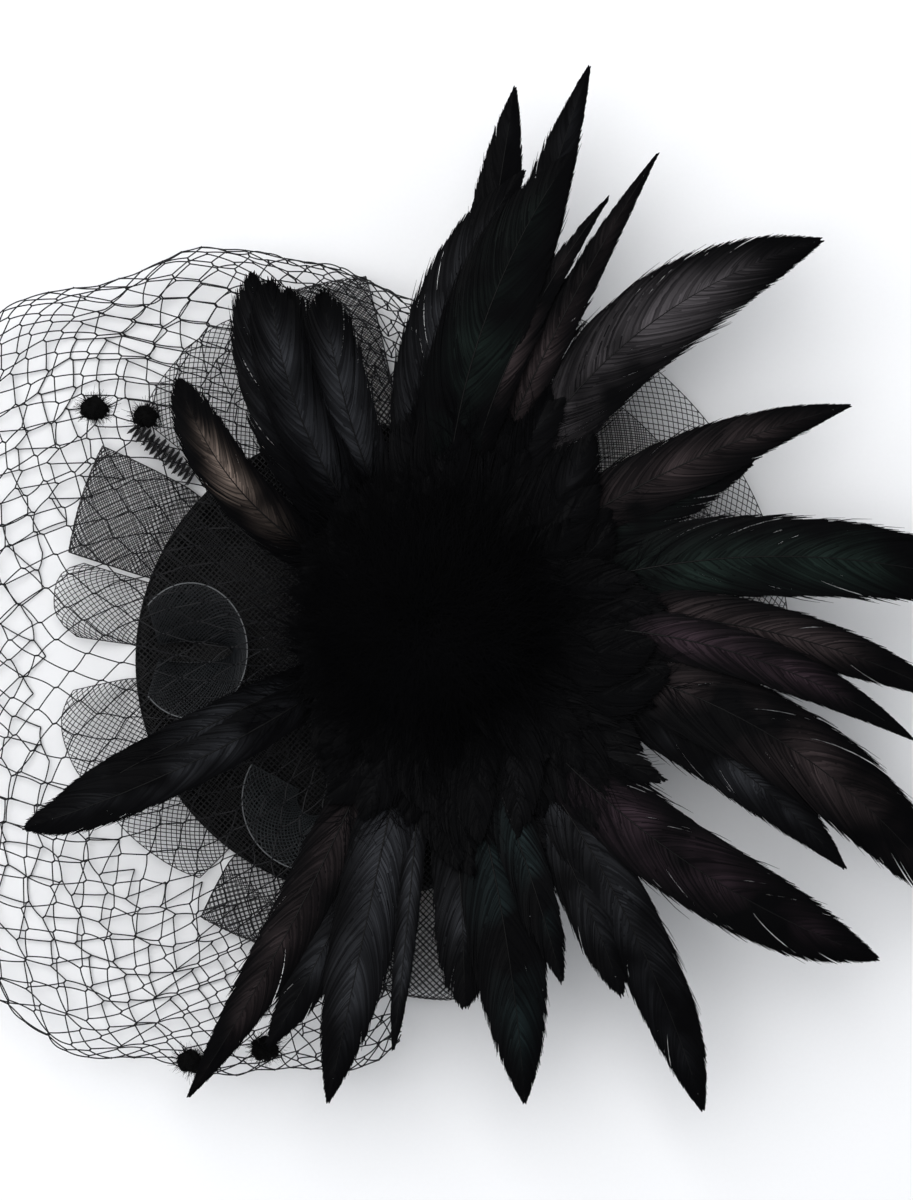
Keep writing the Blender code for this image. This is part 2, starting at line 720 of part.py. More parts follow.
def make_crin_bands(collection):
    for name, numbers in CRIN_LOOPS.items():
        crin_band(name, numbers, loop_path, CRIN_STEPS_ACROSS, collection)
    for name, numbers in CRIN_FLAPS.items():
        crin_band(name, numbers, flap_path, CRIN_STEPS_ACROSS, collection)
    crin_band("crin_brim", CRIN_BRIM, brim_path, CRIN_BRIM_STEPS_ACROSS, collection)


def make_frill(collection):
    def surface(u, v):
        radius = mix(FRILL_REACH, u)
        sideways = FRILL_WAVE * math.sin(2 * math.pi * FRILL_PLEATS * u) / radius
        return polar(FRILL_BEARING + math.degrees(sideways), radius, mix(FRILL_HEIGHT, v))

    sheet("crin_frill", surface, (4 * FRILL_PLEATS, 1), 0.5 * MM, crin(), collection)


def make_curl(collection):
    """The trumpet of crin that stands on the disc: a narrow throat below, a wide round lip above."""

    def oval(u, x, y, across, along):
        """A point of an open oval in plan, from upper left round the right end to lower left."""
        angle = math.radians(CURL_TURN * (1 - 2 * u))
        return x + across * math.cos(angle), y + along * math.sin(angle)

    def surface(u, v):
        low, high = oval(u, *CURL_THROAT), oval(u, *CURL_LIP)
        x, y = (mix((low[k], high[k]), v) for k in (0, 1))
        return x, y, mix(CURL_HEIGHT, v**0.8)

    sheet("crin_curl", surface, (16, 3), CRIN_THICKNESS, crin(), collection)


def make_petal(collection):
    """A half-round petal of crin that stands on the lower left of the disc."""

    def surface(u, v):
        angle = math.radians(mix(PETAL_BEARINGS, u))
        radius = mix(PETAL_RADIUS, v)
        x = PETAL_CENTRE[0] + radius * math.cos(angle)
        y = PETAL_CENTRE[1] + radius * math.sin(angle)
        return x, y, mix(PETAL_HEIGHT, v)

    sheet("crin_petal", surface, (9, 2), CRIN_THICKNESS, crin(), collection)


def clear_scene():
    for thing in list(bpy.data.objects):
        bpy.data.objects.remove(thing)


def main():
    clear_scene()
    headpiece = bpy.data.collections.new("fascinator_headpiece")
    cutters = bpy.data.collections.new("cutters")
    for collection in (headpiece, cutters):
        bpy.context.scene.collection.children.link(collection)
    make_base(headpiece)
    make_clip(headpiece, cutters)
    make_crin_bands(headpiece)
    make_frill(headpiece)
    make_curl(headpiece)
    make_petal(headpiece)
    make_veil(headpiece)
    tier_count = make_feathers(headpiece)
    make_fan_middle(tier_count, headpiece)


main()
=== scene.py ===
"""Looks of the feathered fascinator: barbed feathers, knotted veil, woven crin, fuzzy dots and clip."""

import math

import bmesh
import bpy
import numpy as np
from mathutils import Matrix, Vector
from numpy.random import default_rng


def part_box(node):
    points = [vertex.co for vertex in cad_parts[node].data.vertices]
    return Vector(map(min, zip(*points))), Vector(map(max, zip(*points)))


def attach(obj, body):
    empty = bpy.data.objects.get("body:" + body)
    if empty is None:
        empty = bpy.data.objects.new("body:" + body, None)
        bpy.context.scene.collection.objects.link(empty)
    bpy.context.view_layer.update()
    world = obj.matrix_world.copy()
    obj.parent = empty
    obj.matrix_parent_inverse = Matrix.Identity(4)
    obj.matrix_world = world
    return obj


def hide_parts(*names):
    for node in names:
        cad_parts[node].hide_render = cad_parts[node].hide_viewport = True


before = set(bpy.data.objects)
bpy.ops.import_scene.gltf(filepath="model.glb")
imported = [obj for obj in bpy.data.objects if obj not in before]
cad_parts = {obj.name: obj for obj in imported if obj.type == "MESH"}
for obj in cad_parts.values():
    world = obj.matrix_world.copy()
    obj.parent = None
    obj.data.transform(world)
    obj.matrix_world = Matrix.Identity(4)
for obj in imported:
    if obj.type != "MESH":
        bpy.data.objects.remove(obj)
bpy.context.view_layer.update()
scene = bpy.context.scene

MM = 0.001
HEAD = "headpiece"

# ---- the design, as part.py has it

CROWN_FLAT_RADIUS = 30 * MM
SHOULDER_RADIUS = 61 * MM
DISC_RADIUS = 64.3 * MM
LINING_RADIUS = 54 * MM
CROWN_UNDERSIDE = 8.0 * MM
EDGE_UNDERSIDE = 3.7 * MM
DISC_THICKNESS = 1.0 * MM
LINING_THICKNESS = 1.0 * MM
GAP = 0.3 * MM

FAN_CENTRE = np.array((17 * MM, 11.5 * MM))
QUILL_START = 13 * MM
FAN_BOTTOM = 11.5 * MM
FAN_RISE = 32 * MM
FAN_RISE_RIGHT = 6 * MM
FAN_PEAK = 100 * MM
TIER_PITCH = 1.25 * MM
FEATHER_THICKNESS = 0.6 * MM

VEIL_CENTRE = np.array((-39 * MM, -1 * MM))
VEIL_RADIUS = 116 * MM
VEIL_START_RADIUS = 34 * MM
VEIL_FIRST_BEARING = 62
VEIL_LAST_BEARING = 294
VEIL_START_Z = 11 * MM
VEIL_PEAK_Z = 31 * MM
VEIL_WAIST_Z = 14 * MM
VEIL_HEM_Z = 0.6 * MM
VEIL_LIFTED_HEM_Z = 10.5 * MM
VEIL_PEAK_AT = 0.6

CRIN_CENTRE = np.array((12 * MM, -1 * MM, 0))
CRIN_FLOOR = 0.35 * MM
CRIN_UPPER_START = 1.7 * MM
CRIN_LOOPS = {
    "crin_loop_top": ((94, 114), (97, 115), (111, 112), 7, 0, 58, 74),
    "crin_loop_left": ((142, 162), (145, 162), (108, 103), 9, 0, 66, 81),
    "crin_loop_bottom_left": ((227, 246), (230, 244), (94, 90), 7, 0, 61, 77),
    "crin_loop_bottom": ((262, 281), (263, 279), (93, 97), 6, 1, 55, 70),
}
CRIN_FLAPS = {
    "crin_flap_upper_left": ((117, 137), (118, 138), (113, 106), 4, 2, 64, 79),
    "crin_flap_left": ((163, 176), (163, 175), (105, 103), 5, 7, 68, 82),
    "crin_flap_lower_left": ((183, 204), (185, 203), (103, 100), 5, 6, 67, 82),
    "crin_flap_lower": ((206, 225), (206, 225), (97, 87), 4, 1, 64, 80),
}
CRIN_BRIM = ((-4, 66), (-4, 66), (107, 109), 3, 0, 45, 65)
CRIN_BRIM_OVERLAP = 94 * MM

# The curl's throat and lip are open ellipses: middle x and y, then half sizes along x and y.
CURL_THROAT = (-51 * MM, 2.5 * MM, 12 * MM, 3 * MM)
CURL_LIP = (-50.5 * MM, 3 * MM, 16 * MM, 19 * MM)
CURL_TURN = 138
CURL_HEIGHT = (8.8 * MM, 21 * MM)
PETAL_CENTRE = (-16 * MM, -39 * MM)
PETAL_BEARINGS = (150, 285)
PETAL_RADIUS = (5 * MM, 20 * MM)
PETAL_HEIGHT = (10.3 * MM, 20 * MM)

# Each feather: bearing, length, bow and width in millimetres, then how blunt its tip is (higher is
# blunter), how ragged its edge is, and the colour of its painted sheen.
FEATHERS = [
    (81, 151, 0, 15, 3.2, 0.5, "grey"),
    (-9, 150, 12, 15, 2.6, 0.6, "brown"),
    (-31, 135, 10, 17, 2.8, 0.8, "grey"),
    (-63, 117, 4, 13, 7.0, 1.2, "grey"),
    (-85, 108, 2, 15, 8.0, 1.2, "grey"),
    (-111, 127, 6, 14, 4.5, 1.2, "grey"),
    (67, 111, 3, 10, 1.9, 1.6, "brown"),
    (113, 100, 6, 15, 9.0, 1.6, "grey"),
    (26, 100, 4, 20, 3.0, 0.8, "green"),
    (74, 162, 2, 15, 2.4, 0.6, "grey"),
    (3, 160, 13, 22, 4.0, 0.6, "green"),
    (-29, 170, 18, 22, 4.0, 0.8, "brown"),
    (-61, 157, 8, 16, 4.5, 0.5, "grey"),
    (-79, 137, 4, 21, 3.2, 0.5, "teal"),
    (-95, 120, 1, 6, 4.0, 1.0, "grey"),
    (-117, 149, 4, 14, 2.6, 0.8, "brown"),
    (64, 145, 4, 10, 1.9, 1.4, "brown"),
    (117, 108, 12, 15, 9.0, 1.6, "grey"),
    (207, 120, -2, 10, 7.0, 0.8, "grey"),
    (108, 96, 4, 15, 9.0, 1.6, "grey"),
    (-14, 139, 12, 13, 2.5, 0.6, "purple"),
    (-37, 157, -11, 21, 4.0, 0.6, "purple"),
    (-102, 137, 0, 18, 3.0, 0.5, "grey"),
    (67, 128, 8, 9, 1.9, 1.5, "brown"),
    (44, 153, 18, 23, 3.6, 0.6, "silver"),
    (27, 132, 7, 17, 2.1, 0.6, "brown"),
    (78, 128, 14, 20, 2.6, 0.6, "grey"),
    (73, 136, 10, 24, 2.8, 0.5, "green"),
    (136, 97, 11, 14, 7.0, 0.9, "beige_highlight"),
    (207, 126, 5, 13, 8.0, 0.9, "grey"),
    (115, 104, 9, 15, 9.0, 1.6, "grey"),
    (-70, 107, 2, 12, 3.6, 1.4, "teal"),
]

# The colours of the feathers' painted sheen, mixed into the black of their vanes; the beige one is a
# painted highlight.
PAINTED_SHEEN_TINTS = {
    "grey": (0.034, 0.036, 0.041),
    "green": (0.010, 0.018, 0.015),
    "teal": (0.015, 0.026, 0.027),
    "brown": (0.036, 0.027, 0.028),
    "purple": (0.036, 0.023, 0.030),
    "silver": (0.075, 0.068, 0.073),
    "hackle": (0.015, 0.0152, 0.017),
    "beige_highlight": (0.300, 0.232, 0.196),
}
FEATHER_BLACK = (0.0010, 0.0010, 0.0013)

# Each dot: its bearing on the veil, and its share of the way from the fan to the hem.
DOTS = [(127.5, 0.49), (122.5, 0.44), (263.5, 0.75), (273.5, 0.70)]

# ---- materials


class Tree:
    """Short names for adding nodes to a node tree."""

    def __init__(self, tree):
        self.tree = tree

    def node(self, kind, values, **settings):
        made = self.tree.nodes.new("ShaderNode" + kind)
        for name, value in settings.items():
            setattr(made, name, value)
        for name, value in values.items():
            made.inputs[name].default_value = value
        return made

    def link(self, source, target):
        self.tree.links.new(source, target)


class Nodes(Tree):
    """A new material and its node tree."""

    def __init__(self, name):
        self.material = bpy.data.materials.new(name)
        self.material.use_nodes = True
        super().__init__(self.material.node_tree)
        self.shader = self.tree.nodes["Principled BSDF"]
        self.place = self.node("TexCoord", {}).outputs["Object"]

    def set(self, **values):
        for name, value in values.items():
            self.shader.inputs[name.replace("_", " ")].default_value = value

    def noise(self, scale, detail=3.0, roughness=0.5):
        made = self.node("TexNoise", {"Scale": scale, "Detail": detail, "Roughness": roughness})
        self.link(self.place, made.inputs["Vector"])
        return made.outputs["Fac"]

    def attribute(self, name):
        return self.node("Attribute", {}, attribute_name=name).outputs["Fac"]

    def between(self, source, low, high, from_low=0.0, from_high=1.0):
        ends = {"From Min": from_low, "From Max": from_high, "To Min": low, "To Max": high}
        made = self.node("MapRange", ends)
        self.link(source, made.inputs["Value"])
        return made.outputs["Result"]

    def times(self, first, second):
        made = self.node("Math", {}, operation="MULTIPLY")
        self.link(first, made.inputs[0])
        self.link(second, made.inputs[1])
        return made.outputs["Value"]

    def bump(self, height, distance, strength=0.6):
        made = self.node("Bump", {"Strength": strength, "Distance": distance})
        self.link(height, made.inputs["Height"])
        self.link(made.outputs["Normal"], self.shader.inputs["Normal"])

    def colour(self, share, dark, light):
        made = self.node("Mix", {"A": (*dark, 1), "B": (*light, 1)}, data_type="RGBA")
        self.link(share, made.inputs["Factor"])
        self.link(made.outputs["Result"], self.shader.inputs["Base Color"])

    def roughness(self, share, glossy, dull):
        self.link(self.between(share, glossy, dull), self.shader.inputs["Roughness"])


def once(maker):
    """Makes a material the first time it is asked for with those words."""
    made = {}

    def get(*words):
        if words not in made:
            made[words] = maker(*words)
        return made[words]

    return get


@once
def feather_look(sheen_tint):
    """Black vane with a painted sheen, strongest along the middle and in cloudy patches, each barb a
    little lighter or darker.
    """
    n = Nodes("feather_" + sheen_tint)
    n.set(Specular_IOR_Level=0.025)
    # The painted sheen shows in cloudy patches and along the vane's middle, more on some barbs than
    # others.
    sheen_patches = n.between(n.noise(38, 2), 0.0, 1.0, 0.38, 0.66)
    barb = n.attribute("barb")
    middle = n.attribute("middle")
    # The beige painted highlight is narrowed to the vane's middle.
    if sheen_tint == "beige_highlight":
        middle = n.times(middle, middle)
    lit = n.times(n.times(sheen_patches, n.times(middle, middle)), n.between(barb, 1.0, 0.2))
    n.colour(lit, FEATHER_BLACK, PAINTED_SHEEN_TINTS[sheen_tint])
    n.roughness(barb, 0.4, 0.7)
    return n.material


# Hair, thread and pile: specular level, the scale of the colour's clouds, its dark and its light, then the
# scale of the gloss's clouds, and the roughness where it is glossy and where it is dull.
PLAIN_LOOKS = {
    "quill": (0.1, 200, (0.001, 0.001, 0.001), (0.004, 0.004, 0.004), 500, 0.3, 0.45),
    "hackle_down": (0.012, 60, (0.0005, 0.0005, 0.0006), (0.0016, 0.0016, 0.002), 300, 0.5, 0.7),
    "chenille_pile": (0.05, 700, (0.0008, 0.0008, 0.0008), (0.003, 0.003, 0.003), 900, 0.8, 0.95),
    "crin_strand": (0.3, 120, (0.003, 0.003, 0.004), (0.02, 0.018, 0.02), 900, 0.38, 0.6),
    "cover_strand": (0.25, 120, (0.0004, 0.0004, 0.0005), (0.0045, 0.0045, 0.0055), 900, 0.38, 0.6),
    "standing_strand": (0.3, 120, (0.002, 0.002, 0.003), (0.018, 0.021, 0.024), 900, 0.38, 0.6),
    "petal_strand": (0.3, 120, (0.004, 0.005, 0.006), (0.034, 0.040, 0.044), 900, 0.38, 0.6),
    "crin_rim": (0.5, 120, (0.05, 0.054, 0.058), (0.11, 0.115, 0.12), 900, 0.38, 0.6),
    "veil_thread": (0.2, 120, (0.002, 0.002, 0.003), (0.006, 0.006, 0.007), 900, 0.38, 0.6),
}


@once
def plain_look(name):
    gloss, clouds, dark, light, patches, glossy, dull = PLAIN_LOOKS[name]
    n = Nodes(name)
    n.set(Specular_IOR_Level=gloss)
    n.colour(n.noise(clouds), dark, light)
    n.roughness(n.noise(patches), glossy, dull)
    return n.material


@once
def weave_look(name, dark, light, scale):
    """A close plain weave: two crossed sets of ridges, as colour and as bump."""
    n = Nodes(name)
    n.set(Specular_IOR_Level=0.08)
    ridges = []
    for axis in ("X", "Y"):
        bands = {"wave_type": "BANDS", "bands_direction": axis}
        wave = n.node("TexWave", {"Scale": scale, "Distortion": 0.6}, **bands)
        n.link(n.place, wave.inputs["Vector"])
        ridges.append(wave.outputs["Fac"])
    weave = n.times(ridges[0], ridges[1])
    n.colour(weave, dark, light)
    n.roughness(n.noise(400), 0.5, 0.75)
    n.bump(weave, 0.15 * MM)
    return n.material


# Felt and paper: specular level, sheen, the fibres' noise, dark and light, roughness, and bump.
FIBRE_LOOKS = {
    "wool_felt": (
        (0.15, 0.25),
        (1800, 6, 0.7),
        ((0.008, 0.008, 0.009), (0.03, 0.03, 0.033)),
        (0.85, 1.0),
        (0.2 * MM, 0.6),
    ),
    "white_paper": (
        (0.1, 0.0),
        (900, 5, 0.6),
        ((0.84, 0.84, 0.85), (0.87, 0.87, 0.88)),
        (0.85, 0.95),
        (0.05 * MM, 0.3),
    ),
}


@once
def fibre_look(name):
    (gloss, sheen), fibres, shades, dullness, bump = FIBRE_LOOKS[name]
    n = Nodes(name)
    n.set(Specular_IOR_Level=gloss, Sheen_Weight=sheen, Sheen_Roughness=0.5)
    fibres = n.noise(*fibres)
    n.colour(fibres, *shades)
    n.roughness(fibres, *dullness)
    n.bump(fibres, *bump)
    return n.material


@once
def steel_look():
    """Nickel plate: fine scratches along the strip, duller in patches."""
    n = Nodes("clip_nickel")
    n.set(Metallic=1.0)
    stretch = n.node("Mapping", {"Scale": (0.05, 1, 1)})
    n.link(n.place, stretch.inputs["Vector"])
    scratch = n.node("TexNoise", {"Scale": 4000})
    n.link(stretch.outputs["Vector"], scratch.inputs["Vector"])
    n.colour(n.noise(150), (0.50, 0.50, 0.51), (0.66, 0.65, 0.63))
    n.roughness(scratch.outputs["Fac"], 0.2, 0.42)
    n.bump(scratch.outputs["Fac"], 0.01 * MM, 0.3)
    return n.material


# ---- mesh building


def unit(vectors):
    """Vectors along the last axis, each made one long."""
    return vectors / np.maximum(np.linalg.norm(vectors, axis=-1, keepdims=True), 1e-12)


def lengths_along(line):
    """How far each point of a line lies from its start, measured along it."""
    return np.concatenate(((0,), np.cumsum(np.linalg.norm(np.diff(line, axis=0), axis=1))))


def heading(bearing):
    """The level direction at a bearing in degrees, and the one a quarter turn to its left."""
    angle = math.radians(bearing)
    along = np.array((math.cos(angle), math.sin(angle)))
    return along, np.array((-along[1], along[0]))


def blend(t):
    """An even start and an even stop between 0 and 1."""
    t = np.clip(t, 0.0, 1.0)
    return t * t * (3 - 2 * t)


def mix(pair, share):
    return pair[0] + (pair[1] - pair[0]) * share


def add_object(name, data, look=None):
    thing = bpy.data.objects.new(name, data)
    scene.collection.objects.link(thing)
    if look:
        data.materials.append(look)
    return thing


class Threads:
    """Collects ribbons and tubes, then makes them one mesh with per-point attributes."""

    def __init__(self):
        self.points = []
        self.faces = []
        # barb is a random value for each barb; middle is how much painted sheen each point of a feather
        # takes.
        self.values = {"barb": [], "middle": []}
        self.count = 0

    def add(self, points, faces, barb=0.5, middle=0.5):
        size = len(points)
        self.points.append(points)
        self.faces.append(faces + self.count)
        for name, value in (("barb", barb), ("middle", middle)):
            self.values[name].append(np.broadcast_to(np.asarray(value, float), (size,)))
        self.count += size

    def ribbons(self, lines, half, barb=0.5, middle=0.5):
        """lines and half are (ribbons, points, 3): each ribbon runs along its line, half to each side."""
        many, long = lines.shape[:2]
        points = np.stack((lines - half, lines + half), axis=2).reshape(-1, 3)
        first = (np.arange(many)[:, None] * long + np.arange(long - 1)[None, :]).reshape(-1, 1) * 2
        faces = first + np.array((0, 1, 3, 2))
        barb = np.broadcast_to(np.asarray(barb, float), (many,))
        middle = np.broadcast_to(np.asarray(middle, float), (many, long))
        self.add(points, faces, np.repeat(barb, long * 2), np.repeat(middle.reshape(-1), 2))

    def tube(self, line, radius, sides=4):
        """A tube along a line of points, closed at its ends when it has four sides."""
        line = np.asarray(line, float)
        long = len(line)
        along = unit(np.gradient(line, axis=0))
        lean = np.array((0.0, 0.0, 1.0)) if abs(along[:, 2]).max() < 0.95 else np.array((0.6, 0.8, 0.0))
        across = unit(np.cross(along, lean))
        up = np.cross(across, along)
        angle = 2 * math.pi * (np.arange(sides) + 0.5) / sides
        spread = np.broadcast_to(np.asarray(radius, float), (long,))[:, None, None]
        ring = across[:, None] * np.cos(angle)[:, None] + up[:, None] * np.sin(angle)[:, None]
        points = (line[:, None] + spread * ring).reshape(-1, 3)
        here = np.arange(long - 1)[:, None] * sides + np.arange(sides)[None, :]
        ahead = np.arange(long - 1)[:, None] * sides + (np.arange(sides)[None, :] + 1) % sides
        faces = np.stack((here, here + sides, ahead + sides, ahead), axis=2).reshape(-1, 4)
        if sides == 4:
            ends = np.array(((0, 1, 2, 3), (4 * long - 1, 4 * long - 2, 4 * long - 3, 4 * long - 4)))
            faces = np.concatenate((faces, ends))
        self.add(points, faces)

    def build(self, name, look, smooth=True):
        points = np.concatenate(self.points).astype(np.float32)
        faces = np.concatenate(self.faces).astype(np.int32)
        mesh = bpy.data.meshes.new(name)
        mesh.vertices.add(len(points))
        mesh.vertices.foreach_set("co", points.ravel())
        mesh.loops.add(faces.size)
        mesh.loops.foreach_set("vertex_index", faces.ravel())
        mesh.polygons.add(len(faces))
        mesh.polygons.foreach_set("loop_start", np.arange(0, faces.size, 4, dtype=np.int32))
        mesh.update(calc_edges=True)
        for key, parts in self.values.items():
            stored = mesh.attributes.new(key, "FLOAT", "POINT")
            stored.data.foreach_set("value", np.concatenate(parts).astype(np.float32))
        if smooth:
            mesh.shade_smooth()
        return add_object(name, mesh, look)


def place(thing, slot, *stands_for):
    """Hangs a piece on the headpiece and hides the CAD nodes that it stands for."""
    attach(thing, HEAD)
    if stands_for:
        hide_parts(*stands_for)
    return thing


# ---- feathers


FAN_STEEP, FAN_EASE = 1.9, 0.95  # how steeply the fan leaves the mount, and how much it then levels off


def fan_height(x, y, dome=0.0):
    """How high the fan's surface is, with a dome of that height over its middle."""
    across = x - FAN_CENTRE[0]
    away = np.hypot(across, y - FAN_CENTRE[1])
    rise = FAN_RISE - FAN_RISE_RIGHT * across / np.maximum(away, 1e-6)
    share = away / FAN_PEAK
    swell = dome * np.exp(-((away / DOME_SPREAD) ** 2))
    return FAN_BOTTOM + rise * (FAN_STEEP * share - FAN_EASE * share * share) + swell


# Along a feather, as shares of its length: where its vane is at its widest, and where it starts to close.
VANE_FULL_AT = 0.45
VANE_CLOSES_AT = 0.48
VANE_CAMBER = 0.08  # shares of the vane's half width
VANE_RIPPLE = 0.14
DOME_SPREAD = 30 * MM


class Feather:
    """A feather's line, its width, and the surface that its barbs lie in."""

    def __init__(self, bearing, length, bow, width, blunt, ragged, lift=0.0, start=QUILL_START, dome=0.0):
        self.bearing = bearing
        self.reach = length * MM - start
        self.bow = 4 * bow * MM
        self.half = width * MM / 2
        self.blunt, self.ragged = blunt, ragged
        self.lift, self.start, self.dome = lift, start, dome
        self.camber = VANE_CAMBER * self.half
        self.twist = 0.0
        self.wave = (0.0, 0.0)

    def vary(self, random, twist):
        self.twist = random.normal(0, twist) * self.half
        self.wave = tuple(random.uniform(0, 3, 2))

    def half_width(self, t):
        opened = 0.5 + 0.5 * blend(t / VANE_FULL_AT)
        closing = np.clip((t - VANE_CLOSES_AT) / (1 - VANE_CLOSES_AT), 0.0, 1.0)
        return self.half * opened * (1 - closing**self.blunt)

    def at(self, t, side):
        """Points at share t of the length and side metres to the left of the shaft."""
        along, left = heading(self.bearing)
        out = self.start + self.reach * t
        bowed = self.bow * t * (1 - t)
        slope = self.bow * (1 - 2 * t) / self.reach
        size = np.hypot(1, slope)
        normal = (left[None, :] - along[None, :] * slope.reshape(-1, 1)) / size.reshape(-1, 1)
        spine = FAN_CENTRE + along * out.reshape(-1, 1) + left * bowed.reshape(-1, 1)
        plan = spine + normal * side.reshape(-1, 1)
        z = fan_height(plan[:, 0], plan[:, 1], self.dome) + self.lift
        edge = np.clip(side.ravel() / self.half, -1.4, 1.4)
        t = t.ravel()
        z = z - self.camber * edge**2 + self.twist * edge * blend((t - 0.2) / 0.6)
        ripple = np.sin(self.wave[0] + (7 + np.sign(edge)) * t + self.wave[1])
        z = z + VANE_RIPPLE * self.half * edge**2 * ripple
        return np.column_stack((plan, z)).reshape(*side.shape, 3)


def clumps(starts, random, every, amount):
    """A shared random value for each clump of barbs, so that the vane parts between clumps."""
    edges = np.sort(random.uniform(0, 1, every))
    return random.normal(0, amount, every + 1)[np.searchsorted(edges, starts)]


SHINGLE_TILT = 0.14


def across_ribbons(lines, side):
    """For each point of each line, the unit way across it in the vane, tilted up like a shingle."""
    along = unit(np.gradient(lines, axis=1))
    across = unit(np.cross(along, np.array((0.0, 0.0, 1.0))))
    return across * side + np.cross(across, along) * SHINGLE_TILT


VANE_SPAN = (0.02, 0.99)
BARB_LEAN = (2.4, 3.4)  # a barb's run along the feather for its reach sideways, at the foot and the tip
BARB_HALVINGS = 24
DOWN_LENGTH = 11 * MM
QUILL_UNTIL = 0.92
# Near the fan's middle a feather has no painted sheen, so it stays dark there as painted shade, and over
# the next stretch the painted sheen grows in.
PAINTED_SHEEN_FROM = 24 * MM
PAINTED_SHEEN_OVER = 44 * MM


def add_vane(threads, feather, random, spacing=0.45 * MM, steps=8, fat=1.0):
    """Both sides of a feather's vane, one ribbon for each barb."""
    first, last = VANE_SPAN
    count = max(12, int(feather.reach * (1 - first) / spacing))
    ragged = feather.ragged
    for side in (-1, 1):
        root = first + (last - first) * (np.arange(count) + random.uniform(-0.3, 0.3, count)) / count
        lean = mix(BARB_LEAN, blend(root)) * (1 + clumps(root, random, 7, 0.022 * ragged))
        lean *= 1 + random.normal(0, 0.01 + 0.015 * ragged, count)
        grow = 1 + random.normal(0, 0.012 + 0.02 * ragged, count)
        grow *= 1 + clumps(root, random, 6, 0.035 * ragged)
        low, high = root.copy(), np.full(count, 1.0)
        for _ in range(BARB_HALVINGS):
            end = (low + high) / 2
            short = root + lean * feather.half_width(end) / feather.reach > end
            low, high = np.where(short, end, low), np.where(short, high, end)
        loose = random.random(count) < 0.07 + 0.05 * ragged
        grow = grow + loose * random.uniform(0, 0.16, count)
        wide = np.maximum(feather.half_width(end) * grow, 0.2 * MM)
        end = end + random.normal(0, 0.25 * MM * (0.5 + ragged), count) / feather.reach
        q = np.linspace(0, 1, steps)[None, :]
        t = root[:, None] + (end - root)[:, None] * q**1.2
        out = wide[:, None] * (1 - (1 - q) ** 1.6) * side
        lines = feather.at(t, out)
        lines[:, :, 2] += random.normal(0, 0.07 * MM, count)[:, None] * q
        lines[:, :, 2] += clumps(root, random, 9, 0.5 * MM * ragged)[:, None] * q**2
        thin = np.where(loose, 0.45, 1.0)[:, None]
        half = fat * MM * (0.30 - 0.06 * q - 0.18 * q**6) * (1 - (1 - thin) * q)
        ways = across_ribbons(lines, side) * half[:, :, None]
        # The painted sheen: strongest near the shaft, kept off near the fan's middle as painted shade, and
        # fading towards the tip.
        sheen_near_shaft = np.clip(1.25 - q - 0.3 * random.random((count, 1)), 0, 1)
        away = np.linalg.norm(lines[:, :, :2] - FAN_CENTRE, axis=2)
        fade = blend((away - PAINTED_SHEEN_FROM) / PAINTED_SHEEN_OVER) * blend((1.04 - t) / 0.3)
        threads.ribbons(lines, ways, random.random(count), sheen_near_shaft * fade)


def add_down(threads, feather, random, count=70, span=(0.02, 0.36)):
    """Loose, wavy barbs along the lower part of a feather."""
    for side in (-1, 1):
        root = random.uniform(*span, count)
        q = np.linspace(0, 1, 6)[None, :]
        size = DOWN_LENGTH * random.uniform(0.5, 1.1, count)[:, None]
        lean = random.uniform(0.3, 1.6, count)[:, None]
        swing = q * random.uniform(3, 7, count)[:, None]
        wave = 0.8 * MM * np.sin(swing + random.uniform(0, 6, count)[:, None])
        t = root[:, None] + lean * size * q / feather.reach + wave / feather.reach * q
        lines = feather.at(t, side * (size * q / np.hypot(1, lean)))
        lines[:, :, 2] += random.uniform(-1.5, 3.0, count)[:, None] * MM * q**1.5 + wave * q * 0.5
        half = across_ribbons(lines, side) * (0.10 * MM * (1 - 0.6 * q))[:, :, None]
        threads.ribbons(lines, half, 0.4 + 0.6 * random.random(count), 0.1)


def add_quill(threads, feather, thick=0.32 * MM):
    t = np.linspace(0, QUILL_UNTIL, 24)
    line = feather.at(t, np.zeros_like(t))
    line[:, 2] += 0.05 * MM
    threads.tube(line, thick * (1 - 0.8 * t), sides=6)


def make_feathers():
    for number, row in enumerate(FEATHERS, 1):
        bearing, length, bow, width, blunt, ragged, sheen_tint = row
        name = f"feather_{number:02d}"
        random = default_rng(100 + number)
        feather = Feather(bearing, length, bow, width, blunt, ragged)
        root = feather.at(np.zeros(1), np.zeros(1))[0]
        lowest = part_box(name)[0].z + FEATHER_THICKNESS / 2
        feather.lift = max(0.0, round((lowest - root[2]) / TIER_PITCH) * TIER_PITCH)
        feather.vary(random, 0.12)
        vane = Threads()
        add_vane(vane, feather, random)
        add_down(vane, feather, random)
        place(vane.build(name + "_vane", feather_look(sheen_tint)), "feather_black", name)
        quill = Threads()
        add_quill(quill, feather)
        place(quill.build(name + "_quill", plain_look("quill")), "feather_black")


# Rings of hackles over the middle: length, width, how many, and how high over the fan, in mm.
HACKLE_RINGS = (
    (100, 21, 24, 1.5),
    (84, 21, 22, 2.0),
    (68, 20, 22, 3.0),
    (53, 18, 20, 3.5),
    (38, 14, 18, 4.5),
)
LONG_RINGS = 4  # rings that get the painted sheen and show round the middle
QUILLED_RINGS = 2
FLUFF_HAIRS = 5200
# The pad's stiff core: its cap, and under it the edge and the point that it ends in.
CORE_RADIUS = 30 * MM
CORE_UNDER = ((24 * MM, 22 * MM), (0, 14 * MM))
CORE_DEPTH = 6 * MM
CORE_ROUNDING = 10 * MM
HACKLE_DOME = 24 * MM
HACKLE_CREST = 41 * MM  # above this height the hackles are pressed down, so that none passes the top
